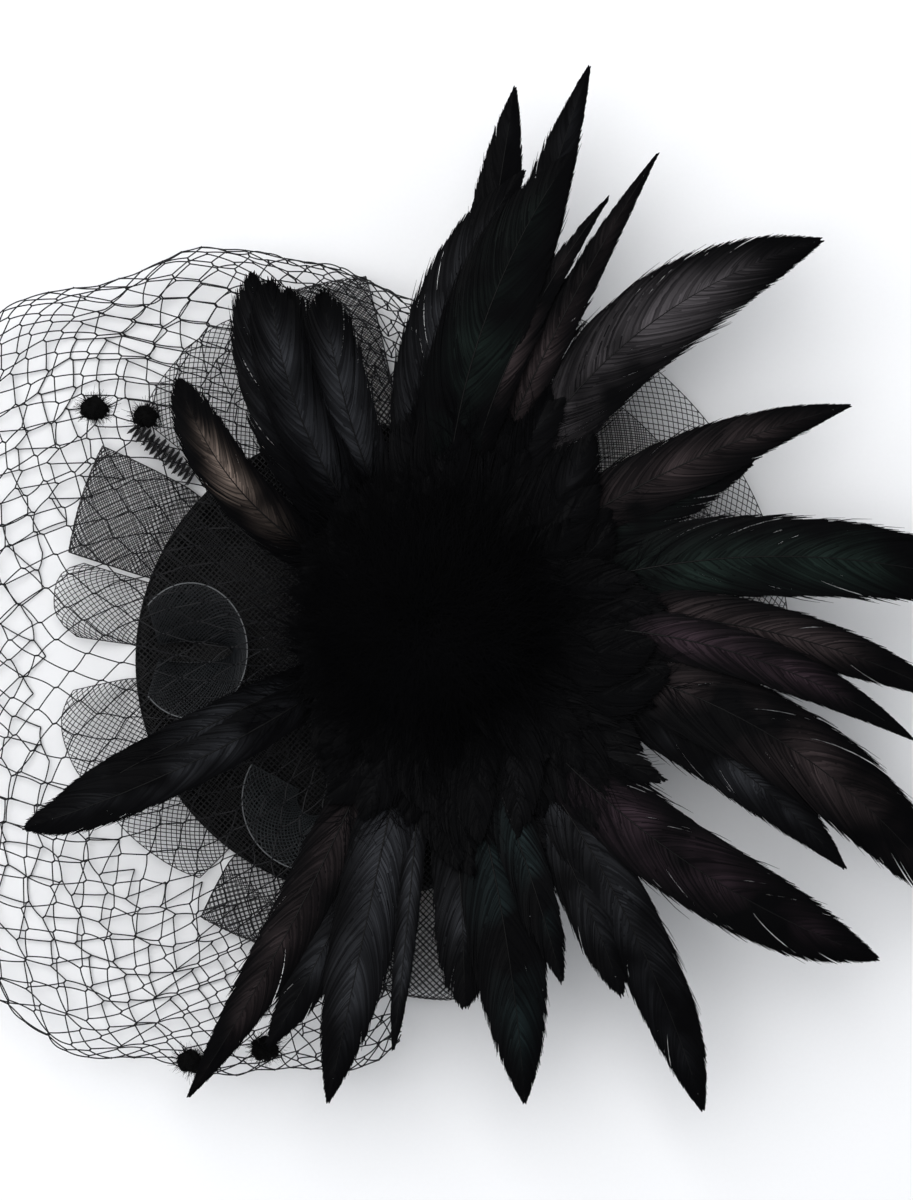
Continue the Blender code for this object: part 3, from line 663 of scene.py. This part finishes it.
# The longest hackles at each bearing, mm: short where the disc and the brim show.
HACKLE_BEARINGS = (0, 15, 32, 50, 75, 88, 97, 106, 116, 128, 140, 160, 200, 220, 240, 270, 300, 330, 360)
HACKLE_LONGEST = (70, 58, 60, 70, 80, 68, 46, 42, 44, 42, 44, 42, 40, 42, 58, 70, 78, 80, 70)


def pressed(z, top):
    """Heights eased off above the crest so that they stay under top."""
    room = top - HACKLE_CREST
    over = np.maximum(z - HACKLE_CREST, 0)
    return np.where(z > HACKLE_CREST, HACKLE_CREST + room * (1 - np.exp(-over / room)), z)


def make_hackles():
    """The fluffy middle: hackles in rings, with loose down between and over them."""
    random = default_rng(7)
    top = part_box("hackle_pad")[1].z + 1.5 * MM
    outer, vane, quill, fluff = Threads(), Threads(), Threads(), Threads()
    for ring, (length, width, count, lift) in enumerate(HACKLE_RINGS):
        for k in range(count):
            bearing = 360 * (k + random.uniform(-0.45, 0.45)) / count
            longest = np.interp(bearing % 360, HACKLE_BEARINGS, HACKLE_LONGEST)
            feather = Feather(
                bearing,
                min(length * random.uniform(0.75, 1.1), longest * random.uniform(0.85, 1.0)),
                random.normal(0, 4),
                width * random.uniform(0.75, 1.15),
                blunt=random.uniform(1.8, 4.0),
                ragged=random.uniform(0.6, 1.8),
                lift=lift * MM,
                start=4 * MM,
                dome=HACKLE_DOME,
            )
            feather.vary(random, 0.15)
            kept = outer if ring < LONG_RINGS else vane
            add_vane(kept, feather, random, spacing=0.6 * MM, steps=7, fat=1.3)
            add_down(kept, feather, random, count=40, span=(0.1, 0.85))
            if ring < QUILLED_RINGS:
                add_quill(quill, feather, thick=0.2 * MM)
    add_fluff(fluff, random)
    for part in (outer, vane, quill, fluff):
        for points in part.points:
            points[:, 2] = pressed(points[:, 2], top)
    down = plain_look("hackle_down")
    place(vane.build("hackle_pad_vanes", down), "hackle_down", "hackle_pad")
    for name, threads, look in (
        ("long", outer, feather_look("hackle")),
        ("quills", quill, plain_look("quill")),
        ("down", fluff, down),
    ):
        place(threads.build("hackle_pad_" + name, look), "hackle_down")
    make_pad_core(top)


def make_pad_core(top):
    """The stiff middle of the pad, under the down."""
    radii = np.linspace(0, CORE_RADIUS, 12)
    cap = [(r, top - CORE_DEPTH - CORE_ROUNDING * (r / CORE_RADIUS) ** 2) for r in radii]
    core = turned("hackle_pad_core", [*cap, *CORE_UNDER], plain_look("hackle_down"), 48)
    core.location = (*FAN_CENTRE, 0)
    place(core, "hackle_down")


def add_fluff(threads, random, count=FLUFF_HAIRS):
    """Fine hairs over the middle, combed outwards."""
    away = 24 * MM * random.uniform(0, 1, count) ** 0.6
    turn = random.uniform(0, 2 * math.pi, count)
    heading = turn + random.normal(0, 0.4, count) + random.normal(0, 2, count) * np.exp(-away / (10 * MM))
    length = (5 + 27 * random.uniform(0, 1, count) ** 2) * MM
    q = np.linspace(0, 1, 7)[None, :]
    heading = heading[:, None] + random.normal(0, 0.5, count)[:, None] * q
    step = length[:, None] * q
    x = FAN_CENTRE[0] + (away * np.cos(turn))[:, None] + step * np.cos(heading)
    y = FAN_CENTRE[1] + (away * np.sin(turn))[:, None] + step * np.sin(heading)
    z = fan_height(x, y, HACKLE_DOME)
    z += random.uniform(4, 9, count)[:, None] * MM
    z += 2.5 * MM * np.sin(q * 2.6) * random.uniform(0, 1, (count, 1))
    lines = np.stack((x, y, z), axis=2)
    half = across_ribbons(lines, 1) * (0.08 * MM * (1 - 0.7 * q))[:, :, None]
    threads.ribbons(lines, half, 0.5 * random.random(count), 0.1)


# ---- veil


VEIL_PEAK_OUT = 0.45  # shares of the section from the fan to the hem
VEIL_WAIST_OUT = 0.85
VEIL_TUCK = (0.05, 0.20)  # how far the hem turns under, where it is lifted and where it is down
# The hem comes down past the first bearing and lifts again at the second, each over so many degrees.
VEIL_DOWN_FROM, VEIL_DOWN_OVER = 88, 20
VEIL_DOWN_UNTIL, VEIL_LIFT_OVER = 288, 16


def veil_line(bearing, outs):
    """Points on the veil at one bearing, at shares outs of its section from the fan to the hem."""
    rim = VEIL_CENTRE + VEIL_RADIUS * heading(bearing)[0]
    way = rim - FAN_CENTRE
    start = FAN_CENTRE + VEIL_START_RADIUS * way / np.linalg.norm(way)
    down = blend((bearing - VEIL_DOWN_FROM) / VEIL_DOWN_OVER)
    down = down * blend((VEIL_DOWN_UNTIL - bearing) / VEIL_LIFT_OVER)
    hem = mix((VEIL_LIFTED_HEM_Z, VEIL_HEM_Z), down)

    def quarter(begin, end):
        return np.pi / 2 * np.clip((outs - begin) / (end - begin), 0, 1)

    turn = quarter(0, VEIL_PEAK_OUT)
    share = VEIL_PEAK_AT * (1 - np.cos(turn))
    z = VEIL_START_Z + (VEIL_PEAK_Z - VEIL_START_Z) * np.sin(turn)
    turn = quarter(VEIL_PEAK_OUT, VEIL_WAIST_OUT)
    past = outs >= VEIL_PEAK_OUT
    share = np.where(past, VEIL_PEAK_AT + (1 - VEIL_PEAK_AT) * np.sin(turn), share)
    z = np.where(past, VEIL_WAIST_Z + (VEIL_PEAK_Z - VEIL_WAIST_Z) * np.cos(turn), z)
    turn = quarter(VEIL_WAIST_OUT, 1)
    past = outs >= VEIL_WAIST_OUT
    tuck = mix(VEIL_TUCK, down)
    share = np.where(past, 1 - tuck * (1 - np.cos(turn)), share)
    z = np.where(past, VEIL_WAIST_Z + (hem - VEIL_WAIST_Z) * np.sin(turn), z)
    return np.column_stack((start + (rim - start) * share[:, None], z))


VEIL_STEPS = 119
VEIL_CELLS = 37
VEIL_CROWDING = 0.2
VEIL_SIDE = 9.4 * MM
VEIL_THREAD = 0.24 * MM
VEIL_KNOT = 0.5 * MM
VEIL_RETURN = 34 * MM
# The net's slow folds, outwards and upwards: size in mm, folds in a turn, phase, and slant along the net.
FOLDS_OUT = ((1.8, 9, 4.6, 2), (1.2, 17, 1.1, -3))
FOLDS_UP = ((1.4, 12, 5.2, 3), (0.9, 23, 2.3, 5))
FOLDS_GROW_OVER = 60 * MM


def veil_column(bearing):
    """The veil's section at a bearing: over the top, down to the hem, and back in along the table."""
    line = veil_line(bearing, np.linspace(0, 1, VEIL_STEPS + 1))
    inward = unit(FAN_CENTRE - line[-1, :2])
    run = np.linspace(0, 1, 30)[1:, None]
    back = np.column_stack((line[-1, :2] + inward * run * VEIL_RETURN, np.full(29, line[-1, 2])))
    back[:, 2] += 1.8 * MM * np.sin(run[:, 0] * math.pi) ** 2
    line = np.concatenate((line, back))
    return line, lengths_along(line)


def veil_ripple(bearing, along):
    """The net's slow folds, as a push outwards and upwards."""
    turn = np.radians(bearing)
    grow = blend(along / FOLDS_GROW_OVER)
    along = along / (100 * MM)
    pushes = []
    for folds in (FOLDS_OUT, FOLDS_UP):
        push = sum(size * np.sin(many * turn + at + slant * along) for size, many, at, slant in folds)
        pushes.append(push * MM * grow)
    return pushes


def make_veil():
    random = default_rng(21)
    many = 2 * VEIL_CELLS + 1
    even = np.linspace(-1, 1, many)
    middle = (VEIL_LAST_BEARING + VEIL_FIRST_BEARING) / 2
    half = (VEIL_LAST_BEARING - VEIL_FIRST_BEARING) / 2
    bearings = middle + half * ((1 + VEIL_CROWDING) * even - VEIL_CROWDING * even**3)
    columns = [veil_column(b) for b in bearings]
    knots = []
    for k, (line, along) in enumerate(columns):
        radius = np.hypot(line[:, 0] - FAN_CENTRE[0], line[:, 1] - FAN_CENTRE[1])
        near = max(0, k - 1), min(many - 1, k + 1)
        cell = radius * math.radians(bearings[near[1]] - bearings[near[0]]) * 2 / (near[1] - near[0])
        here, places = 0.0, []
        while here < along[-1]:
            places.append(here)
            width = min(float(np.interp(here, along, cell)), 1.6 * VEIL_SIDE)
            here += math.sqrt(VEIL_SIDE**2 - (width / 2) ** 2)
        knots.append(places)
    rows = max(len(places) for places in knots)
    even_rows = np.linspace(0, 1, rows)
    knots = [np.interp(even_rows * (len(places) - 1), np.arange(len(places)), places) for places in knots]
    shift = random.normal(0, 0.3 * MM, (many, rows, 3))

    def point(k, share, along_here, moved):
        """A point between columns k and k + 1, at a distance along the net."""
        ends = []
        for line, along in columns[k : k + 2]:
            ends.append(np.stack([np.interp(along_here, along, line[:, a]) for a in range(3)], axis=1))
        share = np.asarray(share)[:, None]
        placed = ends[0] + (ends[-1] - ends[0]) * share if len(ends) > 1 else ends[0]
        bearing = bearings[k] + (bearings[min(k + 1, many - 1)] - bearings[k]) * share[:, 0]
        push, rise = veil_ripple(bearing, along_here)
        turn = np.radians(bearing)
        placed = placed + np.stack((push * np.cos(turn), push * np.sin(turn), 0 * push), axis=1) + moved
        lifted = placed[:, 2] + rise * np.minimum(1.0, placed[:, 2] / (12 * MM))
        placed[:, 2] = np.maximum(lifted, VEIL_THREAD)
        return placed

    net = Threads()
    q = np.linspace(0, 1, 9)
    for k in range(many):
        for row in range(rows):
            if (row + k) % 2:
                continue
            here = knots[k][row]
            span = np.array((-VEIL_KNOT, 0, VEIL_KNOT)) + here
            if 0 < k < many - 1 and 0 < row < rows - 1:
                net.tube(point(k, np.zeros(3), np.maximum(span, 0), shift[k, row]), 1.45 * VEIL_THREAD)
            if k == many - 1:
                continue
            for other in (row - 1, row + 1):
                if not 0 <= other < rows:
                    continue
                way = math.copysign(VEIL_KNOT, other - row)
                along_here = here + way + (knots[k + 1][other] - here - 2 * way) * q
                moved = shift[k, row] + (shift[k + 1, other] - shift[k, row]) * q[:, None]
                moved += np.sin(math.pi * q)[:, None] * random.normal(0, 0.15 * MM, 3)
                net.tube(point(k, q, along_here, moved), VEIL_THREAD)
    place(net.build("veil_net_threads", plain_look("veil_thread")), "veil_net", "veil_net")


DOT_LIFT = 0.8 * MM
DOT_SWELL = (1.3, 1.6, 0.85)  # the pile stands past the CAD's dot, and is flatter
DOT_HAIRS = 700


def make_dots():
    for number, (bearing, out) in enumerate(DOTS, 1):
        name = f"chenille_dot_{number}"
        random = default_rng(50 + number)
        low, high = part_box(name)
        line, along = veil_column(bearing)
        step = int(out * VEIL_STEPS)
        push, rise = veil_ripple(bearing, along[step])
        turn = math.radians(bearing)
        centre = line[step] + np.array((push * math.cos(turn), push * math.sin(turn), rise + DOT_LIFT))
        size = np.array((high - low) / 2) * DOT_SWELL
        core = bmesh.new()
        bmesh.ops.create_icosphere(core, subdivisions=3, radius=1)
        for vertex in core.verts:
            wobble = 1 + 0.10 * math.sin(9 * vertex.co.x + 7 * vertex.co.y) + 0.06 * random.normal()
            vertex.co = Vector(centre + np.array(vertex.co) * size * wobble * 0.85)
        mesh = bpy.data.meshes.new(name + "_core")
        core.to_mesh(mesh)
        core.free()
        mesh.shade_smooth()
        place(add_object(mesh.name, mesh, plain_look("chenille_pile")), "chenille", name)
        pile = Threads()
        away = unit(random.normal(0, 1, (DOT_HAIRS, 3)))
        q = np.linspace(0, 1, 4)[None, :, None]
        reach = random.uniform(0.8, 1.3, (DOT_HAIRS, 1, 1))
        bend = random.normal(0, 0.25, (DOT_HAIRS, 1, 3)) * q**2
        lines = centre + (away[:, None] * (0.75 + (reach - 0.75) * q) + bend) * size
        across = unit(np.cross(away, random.normal(0, 1, (DOT_HAIRS, 3))))
        pile.ribbons(lines, across[:, None] * 0.09 * MM * (1 - 0.6 * q), random.random(DOT_HAIRS))
        place(pile.build(name + "_pile", plain_look("chenille_pile")), "chenille")


# ---- crin

CRIN_SPACING = 1.25 * MM
CRIN_STRAND = 0.158 * MM  # from its middle to a corner: each strand is a 0.22 mm square


def polar(bearing, radius, z):
    angle = np.radians(bearing)
    return CRIN_CENTRE + np.stack((radius * np.cos(angle), radius * np.sin(angle), z), axis=-1)


def surface_normals(surface, u, v):
    step = 0.01
    du = surface(np.minimum(u + step, 1), v) - surface(np.maximum(u - step, 0), v)
    dv = surface(u, np.minimum(v + step, 1)) - surface(u, np.maximum(v - step, 0))
    return unit(np.cross(du, dv))


def weave(threads, surface, length, width, random, spacing=CRIN_SPACING, strand=CRIN_STRAND):
    """Two crossed sets of strands on the bias of a band, with a cord along both long edges."""
    step = spacing * math.sqrt(2)
    for way in (1, -1):
        begin = -width if way == 1 else 0
        for k in range(int((length + width) / step) + 1):
            at = begin + (k + 0.5) * step + random.normal(0, 0.05 * step)
            low = max(0.0, -at) if way == 1 else max(0.0, at - length)
            high = min(width, length - at) if way == 1 else min(width, at)
            if high - low < 0.5 * spacing:
                continue
            across = np.linspace(low, high, max(3, int((high - low) / (1.3 * MM)) + 1))
            u = np.clip((at + way * across) / length, 0, 1)
            v = np.clip(across / width, 0, 1)
            line = surface(u, v) + way * 0.9 * strand * surface_normals(surface, u, v)
            line += random.normal(0, 0.04 * MM, 3)
            line[:, 2] = np.maximum(line[:, 2], strand)
            threads.tube(line, strand)
    along = np.linspace(0, 1, max(4, int(length / (2 * MM))))
    over = np.linspace(0, 1, max(4, int(width / (2 * MM))))
    for edge in (0.0, 1.0):
        for line in (surface(along, np.full_like(along, edge)), surface(np.full_like(over, edge), over)):
            line[:, 2] = np.maximum(line[:, 2], strand)
            threads.tube(line, 1.1 * strand)


FOLD_STEPS = 8


def half_round(radius, z, size, outwards):
    """A fold in a band: half a circle in its section, from its lower side to its upper side."""
    arc = [math.radians(-90 + 180 * k / FOLD_STEPS) for k in range(FOLD_STEPS + 1)]
    return [(radius + outwards * size * math.cos(a), z + size * (1 + math.sin(a))) for a in arc]


def loop_path(reach, height, start, neck):
    """A band out along the table, over, and back to the disc, as (distance, height) points."""
    top = CRIN_FLOOR + height
    folding = height / 2
    straight = reach - folding
    climb = (mix((neck, straight), 0.6), top - 0.04 * height)
    low = (neck + 0.5 * MM, CRIN_UPPER_START + GAP)
    shoulder = (mix((neck, straight), 0.25), mix((low[1], top), 0.62))
    out = [(start, CRIN_FLOOR), (neck, CRIN_FLOOR), *half_round(straight, CRIN_FLOOR, folding, 1)]
    return [*out, climb, shoulder, low, (start + 3 * MM, CRIN_UPPER_START)]


def flap_path(reach, height, start, neck):
    """One layer of band out from under the disc, arched up off the table."""
    rises = ((0.25, 0.4), (0.5, 0.7), (0.85, 1), (1, 0.8))
    arch = [(mix((neck, reach), t), CRIN_FLOOR + height * rise) for t, rise in rises]
    return [(start, CRIN_FLOOR), (neck, CRIN_FLOOR), *arch]


def brim_path(reach, height, start, neck):
    """A band folded under the disc: the long side is the brim, and the short side lies on it."""
    folding = (CRIN_UPPER_START - CRIN_FLOOR) / 2

    def long_side(radius):
        return CRIN_FLOOR + height * max(0.0, (radius - neck) / (reach - neck))

    long_points = [(r, long_side(r)) for r in (reach, CRIN_BRIM_OVERLAP, neck)]
    fold = half_round(start + folding, CRIN_FLOOR, folding, -1)
    short_points = [(r, long_side(r) + 2 * folding) for r in (neck, CRIN_BRIM_OVERLAP)]
    return [*long_points, *fold, *short_points]


def band_surface(numbers, path):
    """A band's surface(u, v), with its length along u and its width along v, in metres."""
    rim, fold, reach, height, rounding, start, neck = numbers
    shares, steps = np.linspace(0, 1, 33), np.linspace(0, 1, 241)
    rows, lengths = [], []
    for v in shares:
        here = mix(reach, v) * MM - rounding * MM * abs(2 * v - 1) ** 3
        line = np.array(path(here, height * MM, start * MM, neck * MM))
        along = lengths_along(line)
        lengths.append(along[-1])
        rows.append([np.interp(steps, along / along[-1], line[:, a]) for a in (0, 1)])
    table = np.array(rows)

    def surface(u, v):
        u, v = np.broadcast_arrays(np.asarray(u, float), np.asarray(v, float))
        at_v, at_u = v * 32, u * 240
        v0, u0 = np.minimum(at_v.astype(int), 31), np.minimum(at_u.astype(int), 239)
        fv, fu = at_v - v0, at_u - u0

        def value(axis):
            low = table[v0, axis, u0] * (1 - fu) + table[v0, axis, u0 + 1] * fu
            high = table[v0 + 1, axis, u0] * (1 - fu) + table[v0 + 1, axis, u0 + 1] * fu
            return low * (1 - fv) + high * fv

        radius, z = value(0), value(1)
        share = np.clip((radius - neck * MM) / ((mix(reach, v) - neck) * MM), 0, 1)
        return polar(mix((mix(rim, v), mix(fold, v)), share), radius, z)

    length = float(np.mean(lengths))
    grid = np.meshgrid(np.linspace(0.05, 0.95, 20), np.linspace(0, 1, 20))
    points = surface(*grid)
    width = float(np.mean(np.sum(np.linalg.norm(np.diff(points, axis=0), axis=2), axis=0)))
    return surface, length, width


def surface_size(surface):
    """A surface's mean width along v, its longest length along u, and its area, in metres."""
    u, v = np.meshgrid(np.linspace(0, 1, 60), np.linspace(0, 1, 30))
    points = surface(u, v)
    along = np.linalg.norm(np.diff(points, axis=1), axis=2)
    over = np.linalg.norm(np.diff(points, axis=0), axis=2)
    area = float(np.sum(along[1:] * over[:, 1:]))
    return float(np.mean(over.sum(axis=0))), float(along.sum(axis=1).max()), area


def make_crin_bands():
    bands = [(name, numbers, loop_path, "folded") for name, numbers in CRIN_LOOPS.items()]
    bands += [(name, numbers, flap_path, "stretched") for name, numbers in CRIN_FLAPS.items()]
    bands.append(("crin_brim", CRIN_BRIM, brim_path, "folded"))
    for seed, (name, numbers, path, held) in enumerate(bands, 300):
        surface, length, width = band_surface(numbers, path)
        threads = Threads()
        weave(threads, surface, length, width, default_rng(seed))
        band = threads.build(name + "_weave", plain_look("crin_strand"), smooth=False)
        place(band, "crin", name)


def curl_surface(u, v):
    """The trumpet that stands on the disc: a narrow throat below, a wide round lip above."""
    angle = np.radians(CURL_TURN * (1 - 2 * np.asarray(u, float)))
    rings = []
    for middle_x, middle_y, across, along in (CURL_THROAT, CURL_LIP):
        rings.append((middle_x + across * np.cos(angle), middle_y + along * np.sin(angle)))
    x, y = (mix((rings[0][k], rings[1][k]), v) for k in (0, 1))
    z = mix(CURL_HEIGHT, np.asarray(v) ** 0.8) + 0 * angle
    return np.stack(np.broadcast_arrays(x, y, z), axis=-1)


def petal_surface(u, v):
    angle = np.radians(mix(PETAL_BEARINGS, u))
    radius = mix(PETAL_RADIUS, v)
    x = PETAL_CENTRE[0] + radius * np.cos(angle)
    y = PETAL_CENTRE[1] + radius * np.sin(angle)
    return np.stack(np.broadcast_arrays(x, y, mix(PETAL_HEIGHT, v) + 0 * u), axis=-1)


def make_standing_crin():
    """The curl and the petal: close woven, each with a lighter cord along its lip."""
    shapes = {
        "crin_curl": (curl_surface, 80 * MM, 19 * MM, plain_look("standing_strand")),
        "crin_petal": (petal_surface, 32 * MM, 18 * MM, plain_look("petal_strand")),
    }
    for seed, (name, (surface, length, width, look)) in enumerate(shapes.items(), 330):
        threads, lip = Threads(), Threads()
        random = default_rng(seed)
        weave(threads, surface, length, width, random, spacing=1.0 * MM, strand=0.17 * MM)
        band = place(threads.build(name + "_weave", look, smooth=False), "crin", name)
        wide, longest, area = surface_size(surface)
        u = np.linspace(0, 1, 90)
        lip.tube(surface(u, np.ones_like(u)), 0.26 * MM)
        place(lip.build(name + "_lip", plain_look("crin_rim")), "crin")


FRILL_PLEATS = 13
FRILL_ROWS = 16
FRILL_STRAND = 0.17 * MM
FRILL_BEARING = 139.7
FRILL_SPAN = (82 * MM, 104 * MM)
FRILL_HALF_PLEAT = 2.4 * MM


def make_frill():
    """A crin strip on edge, in close pleats."""
    low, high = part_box("crin_frill")
    start, end = (polar(FRILL_BEARING, radius, 0.0) for radius in FRILL_SPAN)
    along = unit(end - start)
    across = np.array((-along[1], along[0], 0.0))
    random = default_rng(77)
    k = np.arange(2 * FRILL_PLEATS + 1)
    wide = random.uniform(0.75, 1.15, len(k)) * FRILL_HALF_PLEAT * (-1.0) ** k
    threads = Threads()
    for height in np.linspace(low.z, high.z, FRILL_ROWS):
        lean = (height - low.z) * random.uniform(-0.1, 0.1, len(k))
        line = start + np.outer(k / k[-1], end - start) + np.outer(wide + lean, across)
        line[:, 2] = height + 0.3 * MM * np.sin(k)
        threads.tube(line, FRILL_STRAND)
    for number in np.linspace(0, k[-1], 4 * FRILL_PLEATS + 1):
        foot = start + (end - start) * number / k[-1] + across * np.interp(number, k, wide)
        threads.tube(np.array((foot + (0, 0, low.z), foot + (0, 0, high.z))), FRILL_STRAND)
    strip = threads.build("crin_frill_pleats", plain_look("crin_strand"), smooth=False)
    place(strip, "crin", "crin_frill")


# ---- base


def disc_underside(radius):
    share = (radius - CROWN_FLAT_RADIUS) / (SHOULDER_RADIUS - CROWN_FLAT_RADIUS)
    return CROWN_UNDERSIDE + (EDGE_UNDERSIDE - CROWN_UNDERSIDE) * blend(share)


def domed(radius, lift, thickness, steps):
    """The section of a sheet that follows the disc's underside, with its top lift above it."""
    top = [(r, float(disc_underside(r)) + lift) for r in np.linspace(0, radius, steps)]
    return top + [(r, z - thickness) for r, z in reversed(top)]


def turned(name, profile, look, steps=160):
    """A profile of (radius, height) points turned about Z."""
    mesh = bpy.data.meshes.new(name)
    edges = [(k, (k + 1) % len(profile)) for k in range(len(profile))]
    if profile[0][0] == 0:
        edges.pop()
    mesh.from_pydata([(r, 0, z) for r, z in profile], edges, [])
    thing = add_object(name, mesh, look)
    screw = thing.modifiers.new("turn", "SCREW")
    screw.steps = steps
    screw.render_steps = steps
    screw.use_merge_vertices = True
    screw.merge_threshold = 0.01 * MM
    return thing


# The binding's section: its middle past the disc's edge, its outer and inner sizes, and the cover over it.
BINDING_OUT = 1.0 * MM
BINDING_OUTER = 1.8 * MM
BINDING_INNER = 1.1 * MM
COVER_RADIUS = DISC_RADIUS + 2.6 * MM
COVER_LAYER = 0.46 * MM
COVER_CROSSING = 0.23 * MM


def make_base():
    black_weave = weave_look("sinamay", (0.001, 0.001, 0.0012), (0.003, 0.003, 0.0035), 260)
    laid = domed(DISC_RADIUS, DISC_THICKNESS, DISC_THICKNESS, 40)
    shell = place(turned("base_disc_shell", laid, black_weave), "base_sinamay", "base_disc")
    hung = domed(LINING_RADIUS, -GAP, LINING_THICKNESS, 30)
    lining = place(turned("base_lining_felt", hung, fibre_look("wool_felt")), "felt", "base_lining")
    middle = EDGE_UNDERSIDE + DISC_THICKNESS / 2
    turns = [math.radians(90 - 180 * k / 10) for k in range(11)]
    ring = DISC_RADIUS + BINDING_OUT
    outside, inside = (
        [(ring + size * math.cos(a), middle + size * math.sin(a)) for a in turns]
        for size in (BINDING_OUTER, BINDING_INNER)
    )
    inner = DISC_RADIUS - BINDING_OUTER
    band = [(inner, middle + BINDING_OUTER), *outside, (inner, middle - BINDING_OUTER)]
    band += [(inner, middle - BINDING_INNER), *reversed(inside), (inner, middle + BINDING_INNER)]
    binding = weave_look("bias_binding", (0.0012, 0.0012, 0.0014), (0.003, 0.003, 0.0035), 900)
    strip = place(turned("rim_binding_band", band, binding), "binding", "rim_binding")
    make_cover()
    make_stitches()


def make_cover():
    """The crin stretched over the disc and its binding: two layers, each of two sets of strands."""
    random = default_rng(400)
    limit = COVER_RADIUS
    edge = DISC_RADIUS + BINDING_OUT

    def height(radius):
        dome = disc_underside(radius) + DISC_THICKNESS
        past = np.maximum(radius - edge, 0)
        roll = EDGE_UNDERSIDE + DISC_THICKNESS / 2 + np.sqrt(np.maximum((2 * MM) ** 2 - past**2, 0))
        return dome + (roll - dome) * blend((radius - 0.72 * DISC_RADIUS) / (0.25 * DISC_RADIUS))

    for layer, turn in (("under", 0), ("over", 7)):
        threads = Threads()
        for way in (45, 135):
            along, across = heading(way + turn)
            for at in np.arange(-limit + 0.5 * MM, limit, CRIN_SPACING):
                at += random.normal(0, 0.05 * MM)
                half = math.sqrt(max(limit**2 - at**2, 0))
                if half < 2 * MM:
                    continue
                run = np.linspace(-half, half, max(3, int(half / (0.9 * MM))))
                plan = np.outer(run, along) + across * at
                z = height(np.hypot(plan[:, 0], plan[:, 1]))
                lift = 0.14 * MM + COVER_CROSSING * (way == 135) + COVER_LAYER * (layer == "over")
                threads.tube(np.column_stack((plan, z + lift)), CRIN_STRAND)
        cover = threads.build(f"base_disc_crin_{layer}", plain_look("cover_strand"), smooth=False)
        place(cover, "base_sinamay")


def make_stitches():
    """Hand stitches that hold the binding, from above, and the lining's hem, from below."""
    threads = Threads()
    q = np.linspace(0, 1, 5)
    hem = 52.5 * MM
    lining = float(disc_underside(hem)) - GAP - LINING_THICKNESS
    for radius, height, side, count in ((63.1 * MM, 6.05 * MM, 1, 110), (hem, lining, -1, 84)):
        for k in range(count):
            bearing = 360 * (k + 0.55 * q) / count
            line = polar(bearing, np.full(5, radius), height + side * 0.22 * MM * np.sin(math.pi * q))
            threads.tube(line, 0.14 * MM)
    place(threads.build("base_stitches", plain_look("veil_thread")), "base_sinamay")


def finish_cad_nodes():
    """Materials for the CAD nodes that keep their own shape."""
    felted = ("clip_patch", "feather_mount")
    for name in ("rim_wire", "clip_fixed_jaw", "clip_moving_jaw", "clip_pin", "clip_spring", *felted):
        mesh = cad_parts[name].data
        mesh.materials.clear()
        mesh.materials.append(fibre_look("wool_felt") if name in felted else steel_look())


# ---- camera, light, floor


SKY_STRENGTH = (0.9, 0.32)
SKY_COLOUR = (0.93, 0.96, 1, 1)
FLOOR_SIZE = 4
FLOOR_Z = -0.2 * MM
# Each lamp: where it stands, its size in metres and its power in watts. It faces the origin.
LAMPS = {"key": ((-0.34, 0.34, 1.05), 1.2, 14.5), "fill": ((0.6, -0.5, 1.5), 1.2, 2)}


def sky_light(world):
    """Soft light from all round, strongest from the sides."""
    sky = Tree(world.node_tree)
    strong, weak = SKY_STRENGTH
    fade = sky.node("MapRange", {"To Min": strong, "To Max": weak})
    split = sky.node("SeparateXYZ", {})
    sky.link(sky.node("TexCoord", {}).outputs["Generated"], split.inputs["Vector"])
    sky.link(split.outputs["Z"], fade.inputs["Value"])
    background = sky.tree.nodes["Background"]
    background.inputs["Color"].default_value = SKY_COLOUR
    sky.link(fade.outputs["Result"], background.inputs["Strength"])


def make_stage():
    bpy.ops.mesh.primitive_plane_add(size=FLOOR_SIZE, location=(0, 0, FLOOR_Z))
    floor = bpy.context.object
    floor.name = "floor"
    floor.data.materials.append(fibre_look("white_paper"))
    world = bpy.data.worlds.new("studio")
    scene.world = world
    world.use_nodes = True
    sky_light(world)
    for name, (stands, size, power) in LAMPS.items():
        data = bpy.data.lights.new(name, "AREA")
        data.size = size
        data.energy = power
        light = add_object(name, data)
        light.location = stands
        light.rotation_euler = (-Vector(stands)).to_track_quat("-Z", "Y").to_euler()
    scene.view_settings.view_transform = "Standard"


PIXEL = 0.28 * MM
IMAGE_HEIGHT = 1200
VIEW_CENTRE = (24.2 * MM, 17.2 * MM)
VIEW_PLANE_Z = 24 * MM
CAMERA_DISTANCE = 1.3


def make_camera():
    data = bpy.data.cameras.new("camera")
    data.sensor_width = 36
    data.lens = data.sensor_width / (IMAGE_HEIGHT * PIXEL / CAMERA_DISTANCE)
    camera = add_object("camera", data)
    camera.location = (*VIEW_CENTRE, VIEW_PLANE_Z + CAMERA_DISTANCE)
    scene.camera = camera


make_camera()
make_stage()
make_base()
make_crin_bands()
make_standing_crin()
make_frill()
make_veil()
make_dots()
make_feathers()
make_hackles()
finish_cad_nodes()
